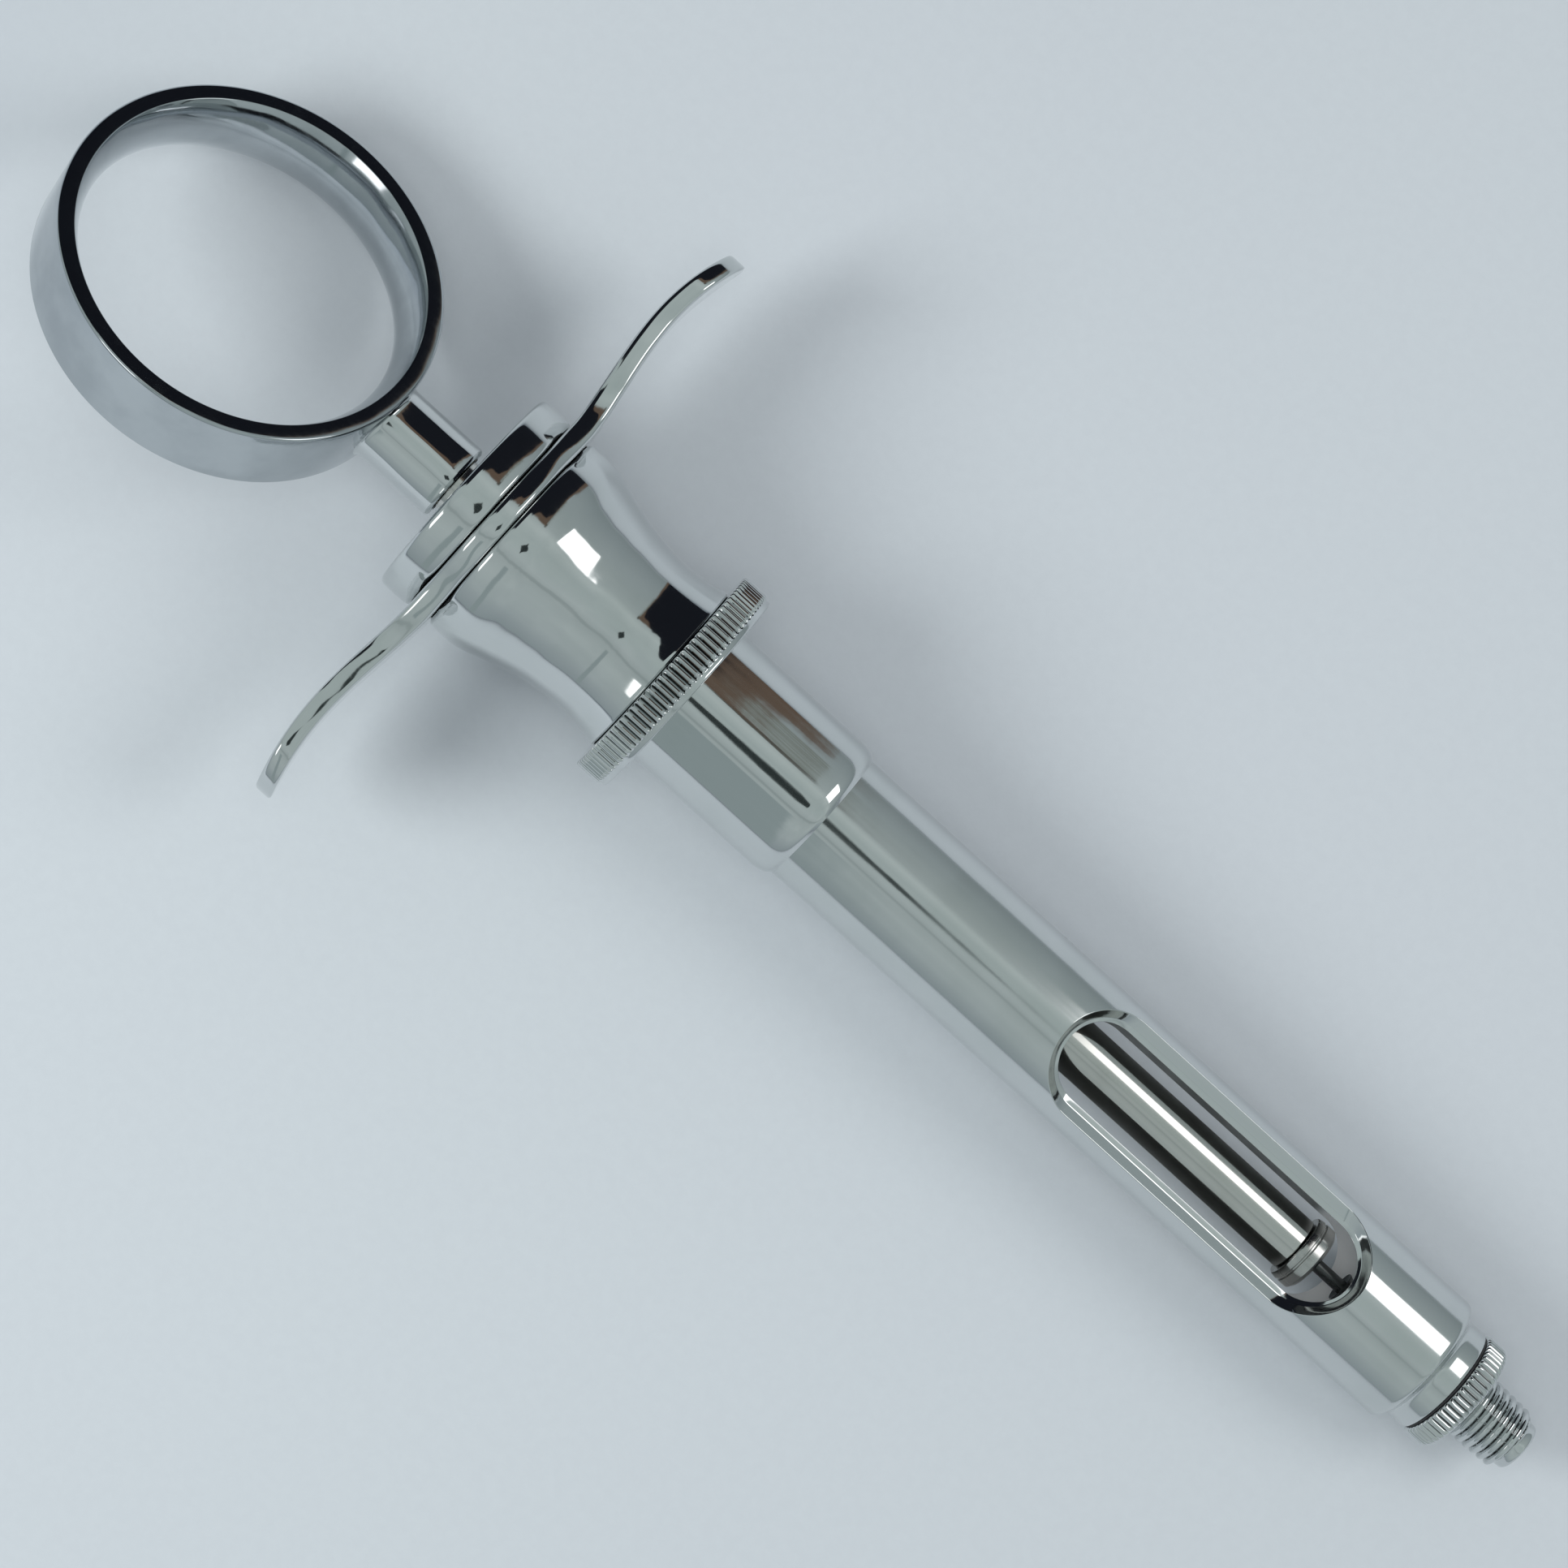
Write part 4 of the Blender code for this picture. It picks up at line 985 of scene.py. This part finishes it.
def make_inside_pieces(steel, brass_material, black):
    low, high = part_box("guide_bearing")
    bore, edge = 2.5 * MM, 0.12 * MM
    flange_rear, pocket_rear = high.x - 1.2 * MM, high.x - 2.7 * MM
    make_ring_piece("rod_guide", "guide_bearing", [
        (low.x, bore, edge), (low.x, 5.0 * MM, 0.25 * MM), (flange_rear, 5.0 * MM, 0.05 * MM),
        (flange_rear, high.z, edge), (high.x, high.z, edge), (high.x, 4.0 * MM, edge),
        (pocket_rear, 4.0 * MM, 0.1 * MM), (pocket_rear, bore, 0.1 * MM)], brass_material)
    low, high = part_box("seal_retainer")
    make_ring_piece("retaining_ring", "seal_retainer", [
        (low.x, 2.7 * MM, edge), (low.x, high.z, edge), (high.x, high.z, edge), (high.x, 2.7 * MM, edge)], brass_material)
    low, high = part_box("rod_seal")
    make_ring_piece("seal", "rod_seal", [
        (low.x, bore, 0.28 * MM), (low.x, high.z, 0.45 * MM), (high.x, high.z, 0.45 * MM),
        (high.x, bore, 0.28 * MM)], black)
    low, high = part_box("cartridge_pusher")
    collar = low.x + 0.8 * MM
    make_ring_piece("pusher_sleeve", "cartridge_pusher", [
        (low.x, 3.4 * MM, edge), (low.x, high.z, 0.15 * MM), (collar, high.z, 0.15 * MM), (collar, 4.3 * MM, 0.1 * MM),
        (high.x, 4.3 * MM, 0.3 * MM), (high.x, 3.4 * MM, 0.2 * MM)], steel)
    low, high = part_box("joint_washer")
    make_ring_piece("seat_washer", "joint_washer", [
        (low.x, 5.6 * MM, edge), (low.x, high.z, edge), (high.x, high.z, edge), (high.x, 5.6 * MM, edge)], black)
    low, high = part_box("adaptor_washer")
    make_ring_piece("neck_washer", "adaptor_washer", [
        (low.x, 2.6 * MM, 0.05 * MM), (low.x, high.z, 0.06 * MM), (high.x, high.z, 0.06 * MM),
        (high.x, 2.6 * MM, 0.05 * MM)], black)
    low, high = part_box("locating_pin")
    radius, rise = 0.5 * (high.z - low.z), 0.5 * (high.z + low.z)
    outline = rounded([(low.x, 0, 0), (low.x, radius, 0.14 * MM), (high.x, radius, 0.14 * MM), (high.x, 0, 0)], 4)
    pin = turned("dowel", outline, [steel], closed=False, angles=math.tau * np.arange(48) / 48)
    pin.data.transform(Matrix.Translation((0, 0, rise)))
    stand_for(pin, "locating_pin")
    make_spring(steel)


# ---------------------------------------------------------------- camera, floor and light

TARGET = Vector((-2.625 * MM, -0.1 * MM, 0.0))
DISTANCE = 390 * MM
LEAN_X, LEAN_Y, ROLL = math.radians(3.2), math.radians(4.0), math.radians(42.2)
VIEW = Vector((-math.sin(LEAN_X), -math.cos(LEAN_X) * math.sin(LEAN_Y), math.cos(LEAN_X) * math.cos(LEAN_Y)))
ALONG = (Vector((1, 0, 0)) - VIEW * VIEW.x).normalized()
ACROSS = VIEW.cross(ALONG)
FLOOR_SLOPE = math.radians(2.85)
FLOOR_POINT = Vector((-14.5 * MM, 0.0, -10.12 * MM))


def make_camera():
    data = bpy.data.cameras.new("camera")
    data.lens, data.sensor_width = 111.8, 36.0
    data.clip_start, data.clip_end = 10 * MM, 10.0
    camera = bpy.data.objects.new("camera", data)
    bpy.context.scene.collection.objects.link(camera)
    right = math.cos(ROLL) * ALONG + math.sin(ROLL) * ACROSS
    up = -math.sin(ROLL) * ALONG + math.cos(ROLL) * ACROSS
    camera.matrix_world = Matrix.Translation(TARGET + DISTANCE * VIEW) @ Matrix(
        (right, up, VIEW)).transposed().to_4x4()
    bpy.context.scene.camera = camera


def make_floor():
    """Large pale matt sheet that the knurled collar and the needle end rest on."""
    half = 3.0
    verts = [(-half, -half, 0), (half, -half, 0), (half, half, 0), (-half, half, 0)]
    floor = add_mesh("floor", verts, [(0, 1, 2, 3)], [], sharp=None)
    floor.matrix_world = Matrix.Translation(FLOOR_POINT) @ Matrix.Rotation(-FLOOR_SLOPE, 4, "Y")
    material = bpy.data.materials.new("pale_sheet")
    material.use_nodes = True
    tree = material.node_tree
    shader = tree.nodes["Principled BSDF"]
    whole = place(tree, (1.0, 1.0, 1.0))
    tint = mix(tree, noise(tree, whole, 9.0, 2.0), linear(208, 214, 220), linear(210, 218, 222))
    fibre = step(tree, noise(tree, whole, 900.0, 4.0, 0.7), 0.3, 0.7)
    at = tree.nodes.new("ShaderNodeSeparateXYZ")
    tree.links.new(whole, at.inputs[0])
    # painted shade: the sheet darkens from 50 to 130 mm towards -X, behind the ring
    tint = mix(tree, step(tree, at.outputs["X"], -0.05, -0.13), tint, linear(186, 194, 202))
    connect(tree, mix(tree, calc(tree, "MULTIPLY", fibre, 0.12), tint, linear(192, 198, 204)), shader.inputs["Base Color"])
    shader.inputs["Roughness"].default_value = 0.85
    shader.inputs["Specular IOR Level"].default_value = 0.15
    connect(tree, bump(tree, noise(tree, whole, 1400.0, 3.0, 0.6), 1.2e-5), shader.inputs["Normal"])
    floor.data.materials.append(material)


def direction(turn, x=0.0):
    """Unit vector at the angle turn from the camera's direction, round the syringe's axis, plus x along it."""
    return (VIEW * math.cos(turn) + ACROSS * math.sin(turn) + ALONG * x).normalized()


def make_lamp(name, toward, distance, size, power, colour):
    data = bpy.data.lights.new(name, "AREA")
    data.shape, data.size = "DISK", size
    data.energy, data.color = power, colour
    lamp = bpy.data.objects.new(name, data)
    bpy.context.scene.collection.objects.link(lamp)
    lamp.location = toward * distance
    lamp.rotation_mode = "QUATERNION"
    lamp.rotation_quaternion = toward.to_track_quat("Z", "Y")
    lamp.visible_glossy = False


ROOM_STOPS = (
    (-180, 150, 159, 161), (-100, 150, 160, 161), (-94, 128, 138, 140), (-88, 124, 134, 137),
    (-78, 133, 142, 145), (-60, 146, 155, 156), (-40, 152, 161, 161), (-26, 146, 155, 155),
    (-20, 142, 151, 151), (-12, 152, 161, 161), (0, 150, 160, 159), (10, 148, 158, 157),
    (22, 158, 167, 166), (30, 142, 151, 151), (45, 136, 145, 145), (60, 132, 141, 142),
    (80, 122, 131, 133), (92, 114, 123, 125), (98, 150, 159, 160), (180, 150, 159, 161))


def ragged(tree, value, vector, scale, amount):
    """The value with a little noise added, so that shapes drawn with it have uneven edges."""
    wobble = calc(tree, "SUBTRACT", noise(tree, vector, scale, 2.0), 0.5)
    return calc(tree, "MULTIPLY_ADD", wobble, amount, value)


def make_world():
    """Soft even light for matt surfaces. Shiny ones mirror a pale room with a dark figure and a brown edge on
    the right, a grey panel on the left and a small dark shape overhead."""
    world = bpy.data.worlds.new("room")
    bpy.context.scene.world = world
    world.use_nodes = True
    world.cycles.sampling_method = "NONE"
    tree = world.node_tree
    tree.nodes.clear()
    source = tree.nodes.new("ShaderNodeTexCoord").outputs["Generated"]
    along, across, above = (dot(tree, source, axis) for axis in ((1, 0, 0), ACROSS, VIEW))
    turn = calc(tree, "MULTIPLY", calc(tree, "ARCTAN2", across, above), 180 / math.pi)
    gain = 1 / 0.665

    def tint(red, green, blue):
        return linear(red, green, blue, gain)

    room = ramp(tree, calc(tree, "MULTIPLY_ADD", turn, 1 / 360, 0.5),
                [((a + 180) / 360, tint(r, g, b)) for a, r, g, b in ROOM_STOPS])
    clouds = step(tree, noise(tree, source, 3.0, 3.0), 0.35, 0.65)
    room = mix(tree, calc(tree, "MULTIPLY", clouds, 0.16), room, tint(120, 131, 133))
    turn = ragged(tree, turn, source, 9.0, 5.0)
    along = ragged(tree, along, source, 7.0, 0.012)
    panel = calc(tree, "MULTIPLY", band(tree, turn, -90, -27.5, 0.8), band(tree, along, 0.01, 0.073, 0.006))
    room = mix(tree, panel, room, tint(124, 135, 136))
    rail = calc(tree, "MULTIPLY", band(tree, turn, -22, -18.5, 1.0), 0.5)
    room = mix(tree, rail, room, tint(118, 128, 128))

    lozenge = calc(tree, "MULTIPLY_ADD", calc(tree, "ABSOLUTE", calc(tree, "ADD", turn, 1.5)), 1 / 7.0,
                   calc(tree, "MULTIPLY", calc(tree, "ABSOLUTE", calc(tree, "SUBTRACT", along, 0.055)), 1 / 0.055))
    room = mix(tree, step(tree, lozenge, 1.08, 0.92), room, tint(40, 46, 46))

    streaks = noise(tree, source, 40.0, 3.0, 0.7)
    grey_part = calc(tree, "MULTIPLY", band(tree, turn, 30, 62, 1.5), band(tree, along, 0.03, 0.063, 0.003))
    room = mix(tree, calc(tree, "MULTIPLY", grey_part, step(tree, streaks, 0.3, 0.6)), room, tint(106, 112, 107))
    dark_edge = calc(tree, "MULTIPLY", band(tree, turn, 27, 31.5, 0.7), band(tree, along, 0.03, 0.061, 0.003))
    room = mix(tree, dark_edge, room, tint(66, 66, 61))
    brown_end = calc(tree, "MULTIPLY_ADD", step(tree, turn, 55, 80), 0.015, 0.041)
    brown = calc(tree, "MULTIPLY", band(tree, turn, 29, 98, 1.0), step(tree, calc(tree, "SUBTRACT", along, brown_end), 0.004, -0.004))
    room = mix(tree, brown, room, tint(84, 71, 61))

    foot = calc(tree, "SUBTRACT", 34.0, calc(tree, "ADD",
                calc(tree, "MULTIPLY", step(tree, along, -0.08, -0.2), 6.0),
                calc(tree, "MULTIPLY", step(tree, along, -0.28, -0.42), 20.0)))
    edge = calc(tree, "MULTIPLY_ADD", step(tree, turn, 30, 46), 0.057, -0.028)
    figure = calc(tree, "MULTIPLY", step(tree, calc(tree, "SUBTRACT", turn, foot), -1.0, 1.0),
                  step(tree, calc(tree, "SUBTRACT", along, edge), 0.002, -0.002))
    figure = calc(tree, "MULTIPLY", figure, step(tree, turn, 99.0, 97.0))
    room = mix(tree, figure, room, tint(20, 22, 27))

    rays = tree.nodes.new("ShaderNodeLightPath")
    soft = linear(199, 204, 208, 0.7)
    shine = tree.nodes.new("ShaderNodeBackground")
    connect(tree, mix(tree, rays.outputs["Is Glossy Ray"], soft, room), shine.inputs["Color"])
    tree.links.new(shine.outputs[0], tree.nodes.new("ShaderNodeOutputWorld").inputs[0])


def make_glow(name, turns, stations, strength):
    """Soft-edged lamp that only shows in reflections: a curved sheet round the syringe, between two angles in
    degrees and two stations along it."""
    radius, parts = 150 * MM, 24
    verts, faces, places = [], [], []
    for i in range(parts + 1):
        out = direction(math.radians(turns[0] + (turns[1] - turns[0]) * i / parts)) * radius
        for k in range(parts + 1):
            x = stations[0] + (stations[1] - stations[0]) * k / parts
            verts.append((x, out.y, out.z))
            places.append((i / parts, k / parts, 0.0))
            if i and k:
                here = len(verts) - 1
                faces.append((here, here - 1, here - parts - 2, here - parts - 1))
    glow = add_mesh(name, verts, faces, [], sharp=None)
    layer = glow.data.attributes.new("place", "FLOAT_VECTOR", "POINT")
    layer.data.foreach_set("vector", [value for place in places for value in place])
    material = bpy.data.materials.new(name)
    material.use_nodes = True
    tree = material.node_tree
    tree.nodes.clear()
    read = tree.nodes.new("ShaderNodeAttribute")
    read.attribute_name = "place"
    parts_of = tree.nodes.new("ShaderNodeSeparateXYZ")
    tree.links.new(read.outputs["Vector"], parts_of.inputs[0])
    rough = calc(tree, "MULTIPLY_ADD", noise(tree, read.outputs["Vector"], 14.0, 3.0), 0.1, -0.05)
    shape = 1.0
    for axis, soft in (("X", 0.05), ("Y", 0.02)):
        inside = calc(tree, "SUBTRACT", 0.5, calc(tree, "ABSOLUTE", calc(tree, "SUBTRACT", parts_of.outputs[axis], 0.5)))
        inside = calc(tree, "ADD", inside, calc(tree, "MULTIPLY", rough, soft * 10))
        shape = calc(tree, "MULTIPLY", shape, step(tree, inside, 0.4 * soft, 2.4 * soft))
    shine = tree.nodes.new("ShaderNodeEmission")
    shine.inputs["Strength"].default_value = strength
    blend = tree.nodes.new("ShaderNodeMixShader")
    connect(tree, shape, blend.inputs[0])
    tree.links.new(tree.nodes.new("ShaderNodeBsdfTransparent").outputs[0], blend.inputs[1])
    tree.links.new(shine.outputs[0], blend.inputs[2])
    tree.links.new(blend.outputs[0], tree.nodes.new("ShaderNodeOutputMaterial").inputs[0])
    material.cycles.emission_sampling = "NONE"
    glow.data.materials.append(material)
    glow.visible_camera = glow.visible_diffuse = glow.visible_shadow = glow.visible_transmission = False


def make_light():
    make_glow("glow_right", (22, 52), (47 * MM, 122 * MM), 2.4)
    make_glow("glow_left", (-49, -26), (-132 * MM, -70 * MM), 2.2)
    make_lamp("lamp_right", direction(math.radians(40), 0.62), 0.42, 0.2, 0.38, (1.0, 0.99, 0.97))
    make_lamp("lamp_top", direction(0.0), 0.42, 0.2, 0.22, (1.0, 1.0, 1.0))
    make_lamp("lamp_left", direction(math.radians(-38), -0.72), 0.42, 0.2, 0.8, (0.98, 1.0, 0.99))


# ---------------------------------------------------------------- the syringe

polished, barrel_chrome, grooved = chrome("chrome_polished", 1.3e-4), chrome_satin(), chrome_knurl()
inside_steel, ground, steel = bore_steel(), rod_steel(), plain_steel()
black = rubber("seal_rubber", (0.022, 0.022, 0.024, 1.0))

# dark material that paints the shade in the crevices between clamped parts
joint = joint_shade_steel()
make_grip_shell(polished, joint)
make_clamp_nut(polished, joint)
make_finger_plate(chrome("chrome_wings", 4e-4), joint)
make_knurled_collar(grooved)
make_barrel_sleeve(chrome("chrome_sleeve", 1.6e-5), inside_steel)
make_tube(barrel_chrome, inside_steel)
make_needle_stub(grooved)
make_spigot(steel)
make_rod(ground)
make_rod_head(steel)
make_harpoon(dark_steel())
make_stem(polished)
make_ring(chrome_ring())
make_inside_pieces(steel, brass(), black)

make_camera()
make_floor()
make_world()
make_light()
bpy.context.scene.view_settings.view_transform = "Standard"
